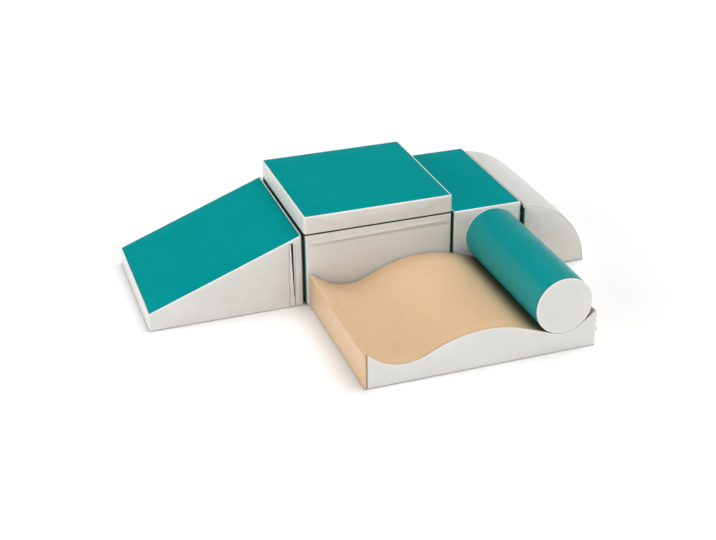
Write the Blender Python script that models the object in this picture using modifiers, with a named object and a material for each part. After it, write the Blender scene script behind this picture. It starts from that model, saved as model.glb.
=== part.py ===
"""Soft play foam climber: a ramp, a base block with a lift-off pad, a step and a
quarter-round block in one row, and a wave mat with a loose roll in front of them.

Every block is a foam core in a sewn cover. The cover is a side band whose edges roll
over, panels set into the rolled edges, and a zip that opens it. Hook and loop strips
hold the blocks to each other. The origin is the middle of the base block's underside,
+X runs along the row from the ramp to the quarter-round, and +Y to the back.
"""

import math

import bmesh
import bpy
from mathutils import Matrix, Vector

# Blocks, in metres
BLOCK_WIDTH = 0.600
BLOCK_DEPTH = 0.600
BLOCK_HEIGHT = 0.299
PAD_HEIGHT = 0.0715
RAMP_LENGTH = 0.604
RAMP_TOE_HEIGHT = 0.070
RAMP_SET_BACK = 0.010
STEP_WIDTH = 0.292
ARC_WIDTH = 0.280
ARC_HEIGHT = 0.290
ARC_RADIUS = 0.309
ARC_SET_FORWARD = 0.015
WAVE_WIDTH = 0.886
WAVE_DEPTH = 0.634
WAVE_LEFT_HEIGHT = 0.139
WAVE_RIGHT_HEIGHT = 0.1475
WAVE_OFFSET = 0.013
ROLL_RADIUS = 0.110
ROLL_LENGTH = 0.634

# The wave's three turns before rounding, as shares of its width and right height
WAVE_TURNS_SHARE = ((0.1354, 0.210), (0.517, 1.200), (0.8736, 0.407))
VALLEY_RADIUS = 0.187
HUMP_RADIUS = 0.280
CRADLE_EASE = 0.008

# Covers
SKIN = 0.0012
FIT = 0.0003
CORNER_RADIUS = 0.012
EDGE_ROLL = 0.006
WELT_ROLL = 0.003
SEAM_LIP = 0.002
PANEL_CROWN = 0.0035
END_CROWN = 0.003

# Hook and loop strips
STRIP_LENGTH = 0.400
STRIP_WIDTH = 0.038
SIDE_STRIP = 0.0024
TOP_STRIP = 0.0012
SIDE_STRIP_HEIGHT = 0.150
FRONT_STRIP_HEIGHT = 0.032
STRIP_CORNER = 0.005

# Zips, across the slot and from the cover's face inwards
SLOT_WIDTH = 0.012
TAPE_WIDTH = 0.024
TAPE_THICKNESS = 0.0008
TAPE_END = 0.004
CHAIN_WIDTH = 0.006
CHAIN_THICKNESS = 0.0024
CHAIN_END = 0.002
SLIT_WIDTH = 0.0016
ZIP_SINK = 0.004
FLAP_WIDTH = 0.022
FLAP_LAP = 0.006

# Zip sliders and pull rings
SLIDER_LENGTH = 0.010
SLIDER_WIDTH = 0.008
SLIDER_PLATE = 0.001
SLIDER_ROUND = 0.0025
POST_LENGTH = 0.003
BAIL_LENGTH = 0.004
BAIL_WIDTH = 0.0024
BAIL_HEIGHT = 0.003
EYE_RADIUS = 0.0011
EYE_HEIGHT = 0.0014
PARK_GAP = 0.001
RING_RADIUS = 0.006
RING_WIRE = 0.0007
RING_OUTWARD = 0.0
ARC_RING_LEAN = math.radians(70.0)

# Where the zips lie on their blocks
BASE_ZIP_END = 0.026
BASE_ZIP_HEIGHT = 0.264
PAD_ZIP_FRONT = 0.016
PAD_ZIP_BACK = 0.028
RAMP_ZIP_FROM_END = 0.043
RAMP_ZIP_BOTTOM = 0.045
RAMP_ZIP_TOP = 0.032
RAMP_FLAP_OPEN = 0.002
STEP_ZIP_END = 0.031
STEP_ZIP_HEIGHT = 0.050
ARC_ZIP_FROM_WALL = 0.021
ARC_ZIP_TOP = 0.016
ARC_ZIP_BOTTOM = 0.049
WAVE_ZIP_HEIGHT = 0.055
WAVE_ZIP_FRONT = 0.012
WAVE_ZIP_BACK = 0.040
ROLL_ZIP_END = 0.037

# Facets
CORNER_STEPS = 3
ROLL_EDGE_STEPS = 3
CROWN_CELLS = 8
TURN_STEP = math.radians(6.0)
ROUND_STEPS = 48
EYE_STEPS = 16
RING_STEPS = 20
RING_WIRE_STEPS = 6
WELD = 0.00001
CUT_OVERRUN = 0.003
CROWN_POWER = 4
ROUND_PROFILE_SHARE = 0.5
QUARTER_TURN = math.radians(90.0)
FLAT_ANGLE = math.radians(0.5)
SMOOTH_ANGLE = math.radians(35.0)
SQUARE_SHARE = 0.9

# Face tags on a block's body
SIDE, TOP, BOTTOM, FRONT, BACK = range(5)

# Colour, roughness and metallic value of each finish
TEAL = ((0.004, 0.285, 0.270), 0.48, 0.0)
LIGHT_GREY = ((0.665, 0.631, 0.578), 0.52, 0.0)
PALE_GREY = ((0.723, 0.716, 0.687), 0.50, 0.0)
BEIGE = ((0.723, 0.497, 0.270), 0.50, 0.0)
UNDERSIDE = ((0.060, 0.060, 0.062), 0.75, 0.0)
FOAM = ((0.780, 0.740, 0.600), 0.90, 0.0)
TAPE = ((0.020, 0.020, 0.022), 0.80, 0.0)
STRIP = ((0.030, 0.030, 0.032), 0.95, 0.0)
BLACK_METAL = ((0.025, 0.025, 0.028), 0.35, 1.0)
STEEL = ((0.550, 0.550, 0.560), 0.30, 1.0)

# Heights and places that follow from the sizes
INNER = SKIN + FIT
SIDE_GAP = 2 * SIDE_STRIP + 3 * FIT
PAD_GAP = 2 * TOP_STRIP + 3 * FIT
WAVE_BACK = -(BLOCK_DEPTH / 2 + SIDE_GAP)
CRADLE_RADIUS = ROLL_RADIUS + CRADLE_EASE
EDGE_BORDER = EDGE_ROLL + SEAM_LIP
WELT_BORDER = WELT_ROLL + SEAM_LIP
PANEL_CORNER = CORNER_RADIUS - EDGE_BORDER
CHAIN_TOP = INNER + TAPE_THICKNESS / 2 - CHAIN_THICKNESS / 2
CHAIN_BOTTOM = CHAIN_TOP + CHAIN_THICKNESS
SLIDER_TOP = SLIDER_PLATE - (CHAIN_TOP - FIT)
SLIDER_BOTTOM = CHAIN_BOTTOM + FIT + SLIDER_PLATE
CHANNEL_DEPTH = SLIDER_BOTTOM + FIT
EYE_LEVEL = SLIDER_TOP + EYE_HEIGHT
BASE_ZIP_LENGTH = BLOCK_WIDTH - 2 * BASE_ZIP_END
PAD_ZIP_LENGTH = BLOCK_DEPTH - PAD_ZIP_FRONT - PAD_ZIP_BACK
RAMP_ZIP_LENGTH = BLOCK_HEIGHT - RAMP_ZIP_BOTTOM - RAMP_ZIP_TOP
STEP_ZIP_LENGTH = STEP_WIDTH - 2 * STEP_ZIP_END
ARC_ZIP_LENGTH = ARC_HEIGHT - ARC_ZIP_BOTTOM - ARC_ZIP_TOP
WAVE_ZIP_LENGTH = WAVE_DEPTH - WAVE_ZIP_FRONT - WAVE_ZIP_BACK
ROLL_ZIP_LENGTH = ROLL_LENGTH - 2 * ROLL_ZIP_END


def start_scene():
    """Empty the scene and make one collection for the parts and one for the cutters."""
    for old in list(bpy.data.objects):
        bpy.data.objects.remove(old, do_unlink=True)
    groups = []
    for name in ("soft_play_foam_climber", "cutters"):
        group = bpy.data.collections.new(name)
        bpy.context.scene.collection.children.link(group)
        groups.append(group)
    return groups


PARTS, CUTTERS = start_scene()


def add_finish(piece, finish):
    """Give a piece its own Principled material."""
    colour, roughness, metallic = finish
    material = bpy.data.materials.new(piece.name)
    material.use_nodes = True
    shader = material.node_tree.nodes["Principled BSDF"]
    shader.inputs["Base Color"].default_value = (*colour, 1.0)
    shader.inputs["Roughness"].default_value = roughness
    shader.inputs["Metallic"].default_value = metallic
    piece.data.materials.clear()
    piece.data.materials.append(material)


def add_piece(name, bm, finish, parent, frame=None):
    """Turn a bmesh into a named sub-part, placed by its frame under its block's empty."""
    for face in bm.faces:
        face.material_index = 0
    mesh = bpy.data.meshes.new(name)
    bm.to_mesh(mesh)
    bm.free()
    mesh.shade_smooth()
    mesh.set_sharp_from_angle(angle=SMOOTH_ANGLE)
    piece = bpy.data.objects.new(name, mesh)
    PARTS.objects.link(piece)
    piece.parent = parent
    piece.matrix_basis = frame or Matrix()
    add_finish(piece, finish)
    return piece


def add_place(name, location):
    """Add the empty that a block's pieces hang on."""
    empty = bpy.data.objects.new(name, None)
    PARTS.objects.link(empty)
    empty.location = location
    return empty


def add_cutter(name, bm, parent, frame):
    """Add a hidden tool body for a Boolean."""
    mesh = bpy.data.meshes.new(name)
    bm.to_mesh(mesh)
    bm.free()
    cutter = bpy.data.objects.new(name, mesh)
    CUTTERS.objects.link(cutter)
    cutter.parent = parent
    cutter.matrix_basis = frame
    cutter.hide_render = True
    cutter.display_type = "WIRE"
    return cutter


def combine(piece, tool, operation):
    """Cut a tool out of a piece, or join it on."""
    modifier = piece.modifiers.new(tool.name, "BOOLEAN")
    modifier.solver = "EXACT"
    modifier.operation = operation
    modifier.object = tool


def thicken(piece, thickness):
    """Give an open surface its thickness, inwards from the outer face."""
    modifier = piece.modifiers.new("thickness", "SOLIDIFY")
    modifier.thickness = thickness
    modifier.offset = -1.0
    modifier.use_even_offset = True


def face_frame(centre, along, outward):
    """Frame on a block's face: x along the piece, z out of the face."""
    x_axis = Vector(along).normalized()
    z_axis = Vector(outward).normalized()
    y_axis = z_axis.cross(x_axis)
    frame = Matrix((x_axis, y_axis, z_axis)).transposed().to_4x4()
    frame.translation = Vector(centre)
    return frame


def box(length, width, low, high):
    """Box centred on x and y, from low to high along z."""
    bm = bmesh.new()
    middle = Vector((0.0, 0.0, (low + high) / 2))
    size = Matrix.Diagonal((length, width, high - low, 1.0))
    bmesh.ops.create_cube(bm, size=1.0, matrix=Matrix.Translation(middle) @ size)
    return bm


def round_edges(bm, edges, radius, steps):
    """Round the given edges; the new faces are tagged as side faces."""
    bmesh.ops.bevel(
        bm,
        geom=edges,
        offset=radius,
        offset_type="OFFSET",
        segments=steps,
        profile=ROUND_PROFILE_SHARE,
        affect="EDGES",
        material=SIDE,
    )


def is_upright(edge):
    """True for an edge that runs along z."""
    run = (edge.verts[1].co - edge.verts[0].co).normalized()
    return abs(run.z) > SQUARE_SHARE


def rim_edges(bm, tags):
    """Edges between a tagged panel and a side face."""
    found = []
    for edge in bm.edges:
        touching = {face.material_index for face in edge.link_faces}
        if SIDE in touching and touching & tags:
            found.append(edge)
    return found


def block_body(width, depth, left_height, right_height, inset):
    """Closed block with a level or sloping top, upright corners rounded and both rims rolled.

    inset moves every face inwards, so a foam core follows its cover.
    """
    slope = (right_height - left_height) / width
    drop = inset * math.hypot(1.0, slope)
    middle = (left_height + right_height) / 2 - drop
    bm = bmesh.new()
    bmesh.ops.create_cube(bm, size=1.0)
    for vert in bm.verts:
        vert.co.x *= width - 2 * inset
        vert.co.y *= depth - 2 * inset
        upper = vert.co.z > 0.0
        vert.co.z = middle + slope * vert.co.x if upper else inset
    corners = [edge for edge in bm.edges if is_upright(edge)]
    round_edges(bm, corners, CORNER_RADIUS - inset, CORNER_STEPS)
    bm.normal_update()
    for face in bm.faces:
        if face.normal.z > SQUARE_SHARE:
            face.material_index = TOP
        elif face.normal.z < -SQUARE_SHARE:
            face.material_index = BOTTOM
        else:
            face.material_index = SIDE
    round_edges(bm, rim_edges(bm, {TOP, BOTTOM}), EDGE_ROLL - inset, ROLL_EDGE_STEPS)
    return bm


def shrink_panel(bm, tag, margin):
    """Draw a panel's edge in by a margin; the border that this leaves belongs to the sides."""
    faces = [face for face in bm.faces if face.material_index == tag]
    border = bmesh.ops.inset_region(bm, faces=faces, thickness=margin, use_even_offset=True)
    for face in border["faces"]:
        face.material_index = SIDE


def open_panels(bm, tags):
    """Take panels out of a body, which leaves a band with a flat lip around each."""
    for tag in tags:
        shrink_panel(bm, tag, SEAM_LIP)
    faces = [face for face in bm.faces if face.material_index in tags]
    bmesh.ops.delete(bm, geom=faces, context="FACES_ONLY")


def keep_panel(bm, tag):
    """Keep only one panel of a body, as a sheet that clears the lip around it."""
    shrink_panel(bm, tag, SEAM_LIP + FIT)
    faces = [face for face in bm.faces if face.material_index != tag]
    bmesh.ops.delete(bm, geom=faces, context="FACES")


def panel_sheet(length, depth, corner, crown):
    """Sheet of one panel: level at its edges and crowned in the middle, with round corners."""
    cells = CROWN_CELLS if crown else 1
    bm = bmesh.new()
    bmesh.ops.create_grid(bm, x_segments=cells, y_segments=cells, size=0.5)
    for vert in bm.verts:
        u = 2 * vert.co.x
        v = 2 * vert.co.y
        rise = crown * (1 - u**CROWN_POWER) * (1 - v**CROWN_POWER)
        vert.co = (vert.co.x * length, vert.co.y * depth, rise)
    if corner > 0.0:
        ends = [vert for vert in bm.verts if len(vert.link_edges) == 2]
        bmesh.ops.bevel(
            bm,
            geom=ends,
            offset=corner,
            offset_type="OFFSET",
            segments=CORNER_STEPS,
            profile=ROUND_PROFILE_SHARE,
            affect="VERTICES",
        )
    return bm


def add_panel(name, length, depth, corner, crown, finish, parent, frame):
    """Add a panel that lies inside a band's rolled edge."""
    bm = panel_sheet(length - 2 * FIT, depth - 2 * FIT, max(corner - FIT, 0.0), crown)
    panel = add_piece(name, bm, finish, parent, frame)
    thicken(panel, SKIN)
    return panel


def add_bottom(name, width, depth, border, corner, parent):
    """Add the non-slip panel on which a block stands."""
    frame = face_frame((0.0, 0.0, 0.0), (1.0, 0.0, 0.0), (0.0, 0.0, -1.0))
    length = width - 2 * border
    across = depth - 2 * border
    return add_panel(name, length, across, corner, 0.0, UNDERSIDE, parent, frame)


def add_strip(name, length, width, thickness, finish, parent, frame):
    """Add a sewn strip on a face, with its upright corners rounded."""
    bm = box(length, width, FIT, FIT + thickness)
    corners = [edge for edge in bm.edges if is_upright(edge)]
    round_edges(bm, corners, STRIP_CORNER, CORNER_STEPS)
    return add_piece(name, bm, finish, parent, frame)


def add_zip_tape(name, length, sink, parent, frame):
    """Add a closed zip: a tape with the chain's two rows standing on it beside the slit."""
    low = -sink - INNER - TAPE_THICKNESS
    bm = box(length + 2 * TAPE_END, TAPE_WIDTH, low, low + TAPE_THICKNESS)
    tape = add_piece(name, bm, TAPE, parent, frame)
    chain_length = length - 2 * FIT
    chain = box(chain_length, CHAIN_WIDTH, -sink - CHAIN_BOTTOM, -sink - CHAIN_TOP)
    slit_length = chain_length - 2 * CHAIN_END
    slit_low = -sink - CHAIN_BOTTOM - CUT_OVERRUN
    slit = box(slit_length, SLIT_WIDTH, slit_low, -sink + CUT_OVERRUN)
    combine(tape, add_cutter(name + "_chain", chain, parent, frame), "UNION")
    combine(tape, add_cutter(name + "_slit", slit, parent, frame), "DIFFERENCE")
    return tape


def rounded_plate(low, high):
    """One of a slider's two plates, with its upright corners rounded."""
    bm = box(SLIDER_LENGTH, SLIDER_WIDTH, low, high)
    corners = [edge for edge in bm.edges if is_upright(edge)]
    round_edges(bm, corners, SLIDER_ROUND, CORNER_STEPS)
    return bm


def add_slider(name, sink, finish, parent, frame):
    """Add a zip slider: two plates joined by a post through the slit, and a bail with an eye."""
    plate = rounded_plate(-sink - CHAIN_TOP + FIT, -sink + SLIDER_TOP)
    slider = add_piece(name, plate, finish, parent, frame)
    lower = rounded_plate(-sink - SLIDER_BOTTOM, -sink - CHAIN_BOTTOM - FIT)
    post_width = SLIT_WIDTH - 2 * FIT
    post_low = -sink - SLIDER_BOTTOM + SLIDER_PLATE / 2
    post_high = -sink + SLIDER_TOP - SLIDER_PLATE / 2
    post = box(POST_LENGTH, post_width, post_low, post_high)
    bail_low = -sink + SLIDER_TOP - SLIDER_PLATE / 2
    bail = box(BAIL_LENGTH, BAIL_WIDTH, bail_low, -sink + SLIDER_TOP + BAIL_HEIGHT)
    eye = bmesh.new()
    across = Matrix.Rotation(QUARTER_TURN, 4, "X")
    height = Matrix.Translation((0.0, 0.0, -sink + EYE_LEVEL))
    bmesh.ops.create_cone(
        eye,
        cap_ends=True,
        segments=EYE_STEPS,
        radius1=EYE_RADIUS,
        radius2=EYE_RADIUS,
        depth=BAIL_WIDTH + 2 * CUT_OVERRUN,
        matrix=height @ across,
    )
    combine(slider, add_cutter(name + "_post", post, parent, frame), "UNION")
    combine(slider, add_cutter(name + "_lower", lower, parent, frame), "UNION")
    combine(slider, add_cutter(name + "_bail", bail, parent, frame), "UNION")
    combine(slider, add_cutter(name + "_eye", eye, parent, frame), "DIFFERENCE")
    return slider


def add_ring(name, parent, frame, lean):
    """Add a pull ring threaded through a slider's eye, which is its hinge.

    lean turns the ring about the eye, from standing straight out of the cover.
    """
    hinge = frame @ Matrix.Translation((0.0, 0.0, EYE_LEVEL)) @ Matrix.Rotation(lean, 4, "Y")
    bpy.ops.mesh.primitive_torus_add(
        major_radius=RING_RADIUS,
        minor_radius=RING_WIRE,
        major_segments=RING_STEPS,
        minor_segments=RING_WIRE_STEPS,
    )
    torus = bpy.context.active_object
    bm = bmesh.new()
    bm.from_mesh(torus.data)
    bpy.data.objects.remove(torus, do_unlink=True)
    upright = Matrix.Rotation(QUARTER_TURN, 4, "Y")
    outwards = Matrix.Translation((0.0, 0.0, RING_RADIUS))
    bmesh.ops.transform(bm, matrix=outwards @ upright, verts=bm.verts)
    return add_piece(name, bm, STEEL, parent, hinge)


def add_zip(block, frame, length, parked, sink, cover, core, lean=None):
    """Add a block's zip: its slot in the cover, its channel in the foam, tape, slider and ring.

    parked is the slider's end of the zip, -1 or 1 along the frame. A ring is added where
    lean is given.
    """
    parent = cover.parent
    slot = box(length, SLOT_WIDTH, -SKIN - CUT_OVERRUN, CUT_OVERRUN)
    tape_length = length + 2 * TAPE_END
    channel = box(
        tape_length + 2 * FIT,
        TAPE_WIDTH + 2 * FIT,
        -sink - CHANNEL_DEPTH,
        CUT_OVERRUN,
    )
    combine(cover, add_cutter(block + "_zip_slot", slot, parent, frame), "DIFFERENCE")
    combine(core, add_cutter(block + "_zip_channel", channel, parent, frame), "DIFFERENCE")
    add_zip_tape(block + "_zip_tape", length, sink, parent, frame)
    offset = parked * (length / 2 - SLIDER_LENGTH / 2 - PARK_GAP)
    place = frame @ Matrix.Translation((offset, 0.0, 0.0))
    add_slider(block + "_zip_slider", sink, BLACK_METAL, parent, place)
    if lean is not None:
        add_ring(block + "_pull_ring", parent, place, lean)


def add_block(name, width, left_height, right_height, top_name, top_finish, crown, parent):
    """Add a straight block: foam core, side band, top panel and bottom panel."""
    heights = (left_height, right_height)
    core_bm = block_body(width, BLOCK_DEPTH, *heights, INNER)
    core = add_piece(name + "_foam_core", core_bm, FOAM, parent)
    band_bm = block_body(width, BLOCK_DEPTH, *heights, 0.0)
    open_panels(band_bm, (TOP, BOTTOM))
    band = add_piece(name + "_side_band", band_bm, LIGHT_GREY, parent)
    thicken(band, SKIN)
    rise = right_height - left_height
    run = math.hypot(width, rise)
    top = face_frame(
        (0.0, 0.0, (left_height + right_height) / 2),
        (width, 0.0, rise),
        (-rise, 0.0, width),
    )
    length = run - 2 * EDGE_BORDER
    across = BLOCK_DEPTH - 2 * EDGE_BORDER
    corner = CORNER_RADIUS * run / width - EDGE_BORDER
    add_panel(top_name, length, across, corner, crown, top_finish, parent, top)
    add_bottom(name + "_bottom_panel", width, BLOCK_DEPTH, EDGE_BORDER, PANEL_CORNER, parent)
    return core, band


def side_strip(name, x, direction, height, parent):
    """Add a hook or loop strip on a block's left or right face."""
    frame = face_frame((x, 0.0, height), (0.0, 1.0, 0.0), (direction, 0.0, 0.0))
    add_strip(name, STRIP_LENGTH, STRIP_WIDTH, SIDE_STRIP, STRIP, parent, frame)


def add_base():
    """Base block: the block that the others are held to."""
    place = add_place("base_place", (0.0, 0.0, 0.0))
    core, band = add_block(
        "base", BLOCK_WIDTH, BLOCK_HEIGHT, BLOCK_HEIGHT, "base_top_panel", LIGHT_GREY, 0.0, place
    )
    front = -BLOCK_DEPTH / 2
    zip_line = face_frame((0.0, front, BASE_ZIP_HEIGHT), (1.0, 0.0, 0.0), (0.0, -1.0, 0.0))
    add_zip("base", zip_line, BASE_ZIP_LENGTH, 1, ZIP_SINK, band, core)
    flap_rise = FLAP_WIDTH / 2 - SLOT_WIDTH / 2 - FIT
    flap = face_frame(
        (0.0, front, BASE_ZIP_HEIGHT + flap_rise), (1.0, 0.0, 0.0), (0.0, -1.0, 0.0)
    )
    flap_length = BASE_ZIP_LENGTH + 2 * FLAP_LAP
    add_strip("base_zip_flap", flap_length, FLAP_WIDTH, SKIN, LIGHT_GREY, place, flap)
    side_strip("base_loop_strip_left", -BLOCK_WIDTH / 2, -1.0, SIDE_STRIP_HEIGHT, place)
    side_strip("base_loop_strip_right", BLOCK_WIDTH / 2, 1.0, SIDE_STRIP_HEIGHT, place)
    front_strip = face_frame((0.0, front, FRONT_STRIP_HEIGHT), (1.0, 0.0, 0.0), (0.0, -1.0, 0.0))
    add_strip(
        "base_loop_strip_front", STRIP_LENGTH, STRIP_WIDTH, SIDE_STRIP, STRIP, place, front_strip
    )
    top_strip = face_frame((0.0, 0.0, BLOCK_HEIGHT), (1.0, 0.0, 0.0), (0.0, 0.0, 1.0))
    add_strip("base_loop_strip_top", STRIP_LENGTH, STRIP_WIDTH, TOP_STRIP, STRIP, place, top_strip)
    return place


def add_pad():
    """Pad on the base block: its cover's sides and underside are one tray."""
    bottom = BLOCK_HEIGHT + PAD_GAP
    place = add_place("pad_place", (0.0, 0.0, bottom))
    body = (BLOCK_WIDTH, BLOCK_DEPTH, PAD_HEIGHT, PAD_HEIGHT)
    core = add_piece("pad_foam_core", block_body(*body, INNER), FOAM, place)
    tray_bm = block_body(*body, 0.0)
    open_panels(tray_bm, (TOP,))
    tray = add_piece("pad_cover_tray", tray_bm, LIGHT_GREY, place)
    thicken(tray, SKIN)
    top = face_frame((0.0, 0.0, PAD_HEIGHT), (1.0, 0.0, 0.0), (0.0, 0.0, 1.0))
    length = BLOCK_WIDTH - 2 * EDGE_BORDER
    across = BLOCK_DEPTH - 2 * EDGE_BORDER
    add_panel("pad_top_panel", length, across, PANEL_CORNER, PANEL_CROWN, TEAL, place, top)
    middle = (PAD_ZIP_FRONT - PAD_ZIP_BACK) / 2
    zip_line = face_frame(
        (BLOCK_WIDTH / 2, middle, PAD_HEIGHT / 2), (0.0, -1.0, 0.0), (1.0, 0.0, 0.0)
    )
    add_zip("pad", zip_line, PAD_ZIP_LENGTH, 1, 0.0, tray, core, RING_OUTWARD)
    hook = face_frame((0.0, 0.0, 0.0), (1.0, 0.0, 0.0), (0.0, 0.0, -1.0))
    add_strip("pad_hook_strip", STRIP_LENGTH, STRIP_WIDTH, TOP_STRIP, STRIP, place, hook)


def add_ramp():
    """Ramp: a wedge whose tall end meets the base block."""
    x = -(BLOCK_WIDTH / 2 + SIDE_GAP + RAMP_LENGTH / 2)
    place = add_place("ramp_place", (x, RAMP_SET_BACK, 0.0))
    core, band = add_block(
        "ramp", RAMP_LENGTH, RAMP_TOE_HEIGHT, BLOCK_HEIGHT, "ramp_slope_panel", TEAL,
        PANEL_CROWN, place,
    )
    zip_x = RAMP_LENGTH / 2 - RAMP_ZIP_FROM_END
    zip_z = RAMP_ZIP_BOTTOM + RAMP_ZIP_LENGTH / 2
    front = -BLOCK_DEPTH / 2
    zip_line = face_frame((zip_x, front, zip_z), (0.0, 0.0, 1.0), (0.0, -1.0, 0.0))
    add_zip("ramp", zip_line, RAMP_ZIP_LENGTH, 1, ZIP_SINK, band, core)
    flap_x = zip_x + SLOT_WIDTH / 2 - RAMP_FLAP_OPEN - FLAP_WIDTH / 2
    flap = face_frame((flap_x, front, zip_z), (0.0, 0.0, 1.0), (0.0, -1.0, 0.0))
    flap_length = RAMP_ZIP_LENGTH
    add_strip("ramp_zip_flap", flap_length, FLAP_WIDTH, SKIN, LIGHT_GREY, place, flap)
    side_strip("ramp_hook_strip", RAMP_LENGTH / 2, 1.0, SIDE_STRIP_HEIGHT, place)


def add_step():
    """Step: the narrow block on the base block's right."""
    x = BLOCK_WIDTH / 2 + SIDE_GAP + STEP_WIDTH / 2
    place = add_place("step_place", (x, 0.0, 0.0))
    core, band = add_block(
        "step", STEP_WIDTH, BLOCK_HEIGHT, BLOCK_HEIGHT, "step_top_panel", TEAL, PANEL_CROWN, place
    )
    zip_line = face_frame(
        (0.0, BLOCK_DEPTH / 2, STEP_ZIP_HEIGHT), (1.0, 0.0, 0.0), (0.0, 1.0, 0.0)
    )
    add_zip("step", zip_line, STEP_ZIP_LENGTH, 1, 0.0, band, core, RING_OUTWARD)
    side_strip("step_hook_strip", -STEP_WIDTH / 2, -1.0, SIDE_STRIP_HEIGHT, place)
    side_strip("step_loop_strip", STEP_WIDTH / 2, 1.0, SIDE_STRIP_HEIGHT, place)


def turn_points(before, corner, after, radius):
    """Points of the arc that rounds one corner of an outline, and the arc's centre."""
    inwards = (before - corner).normalized()
    outwards = (after - corner).normalized()
    half = inwards.angle(outwards) / 2
    centre = corner + (inwards + outwards).normalized() * (radius / math.sin(half))
    start = corner + inwards * (radius / math.tan(half)) - centre
    sweep = math.pi - 2 * half
    steps = max(1, round(sweep / TURN_STEP))
    side = -math.copysign(1.0, inwards.cross(outwards))
    points = []
    for step in range(steps + 1):
        spin = Matrix.Rotation(side * sweep * step / steps, 2)
        points.append(centre + spin @ start)
    return points, centre


def wave_outline():
    """Outline of the wave's end, from its left foot round; also the centre of the roll's cradle."""
    low_left = Vector((0.0, 0.0))
    low_right = Vector((WAVE_WIDTH, 0.0))
    crest_left = Vector((0.0, WAVE_LEFT_HEIGHT))
    crest_right = Vector((WAVE_WIDTH, WAVE_RIGHT_HEIGHT))
    turns = [Vector((x * WAVE_WIDTH, z * WAVE_RIGHT_HEIGHT)) for x, z in WAVE_TURNS_SHARE]
    stations = [crest_left, *turns, crest_right]
    outline = [crest_left]
    centre = None
    for index, radius in enumerate((VALLEY_RADIUS, HUMP_RADIUS, CRADLE_RADIUS)):
        points, centre = turn_points(*stations[index:index + 3], radius)
        outline.extend(points)
    outline.extend((crest_right, low_right, low_left))
    return [Vector((point.x - WAVE_WIDTH / 2, point.y)) for point in outline], centre


def arc_outline():
    """Outline of the quarter-round's end: a tall wall, a floor line and an arc between them."""
    top = Vector((0.0, ARC_HEIGHT))
    toe = Vector((ARC_WIDTH, 0.0))
    chord = toe - top
    depth = math.sqrt(ARC_RADIUS**2 - (chord.length / 2) ** 2)
    inwards = Vector((chord.y, -chord.x)).normalized()
    centre = (top + toe) / 2 + inwards * depth
    first = math.atan2(top.y - centre.y, top.x - centre.x)
    last = math.atan2(toe.y - centre.y, toe.x - centre.x)
    steps = max(1, round((first - last) / TURN_STEP))
    outline = [Vector((0.0, 0.0))]
    for step in range(steps + 1):
        angle = first + (last - first) * step / steps
        reach = Vector((math.cos(angle), math.sin(angle))) * ARC_RADIUS
        outline.append(centre + reach)
    return [Vector((point.x - ARC_WIDTH / 2, point.y)) for point in outline]


def inset_outline(outline, inset):
    """Clockwise outline with every side moved inwards by the same amount."""
    moved = []
    count = len(outline)
    for index, point in enumerate(outline):
        into = (point - outline[index - 1]).normalized()
        out = (outline[(index + 1) % count] - point).normalized()
        normal_in = Vector((into.y, -into.x))
        normal_out = Vector((out.y, -out.x))
        middle = (normal_in + normal_out).normalized()
        moved.append(point + middle * (inset / middle.dot(normal_in)))
    return moved


def outline_body(outline, depth, roll, inset, tag_face):
    """Closed prism along y over an outline, with its sharp edges rolled.

    tag_face names the panel that a face belongs to from its normal.
    """
    curve = bpy.data.curves.new("outline", "CURVE")
    curve.dimensions = "2D"
    curve.fill_mode = "BOTH"
    curve.extrude = depth / 2 - inset
    spline = curve.splines.new("POLY")
    points = inset_outline(outline, inset)
    spline.points.add(len(points) - 1)
    for target, point in zip(spline.points, points):
        target.co = (point.x, point.y, 0.0, 1.0)
    spline.use_cyclic_u = True
    guide = bpy.data.objects.new("outline", curve)
    CUTTERS.objects.link(guide)
    graph = bpy.context.evaluated_depsgraph_get()
    mesh = bpy.data.meshes.new_from_object(guide.evaluated_get(graph))
    bm = bmesh.new()
    bm.from_mesh(mesh)
    bpy.data.meshes.remove(mesh)
    bpy.data.objects.remove(guide, do_unlink=True)
    bmesh.ops.remove_doubles(bm, verts=bm.verts, dist=WELD)
    upright = Matrix.Rotation(QUARTER_TURN, 4, "X")
    bmesh.ops.transform(bm, matrix=upright, verts=bm.verts)
    bmesh.ops.dissolve_limit(bm, angle_limit=FLAT_ANGLE, verts=bm.verts, edges=bm.edges)
    bmesh.ops.recalc_face_normals(bm, faces=bm.faces)
    bm.normal_update()
    for face in bm.faces:
        face.material_index = tag_face(face.normal)
    sharp = [edge for edge in bm.edges if edge.calc_face_angle() > SMOOTH_ANGLE]
    round_edges(bm, sharp, roll - inset, ROLL_EDGE_STEPS)
    return bm


def arc_tag(normal):
    """Panel of the quarter-round that a face belongs to."""
    if normal.z < -SQUARE_SHARE:
        return BOTTOM
    if abs(normal.y) > SQUARE_SHARE or normal.x < -SQUARE_SHARE:
        return SIDE
    return TOP


def wave_tag(normal):
    """Panel of the wave mat that a face belongs to."""
    if normal.z < -SQUARE_SHARE:
        return BOTTOM
    if normal.y < -SQUARE_SHARE:
        return FRONT
    if normal.y > SQUARE_SHARE:
        return BACK
    return SIDE


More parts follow.
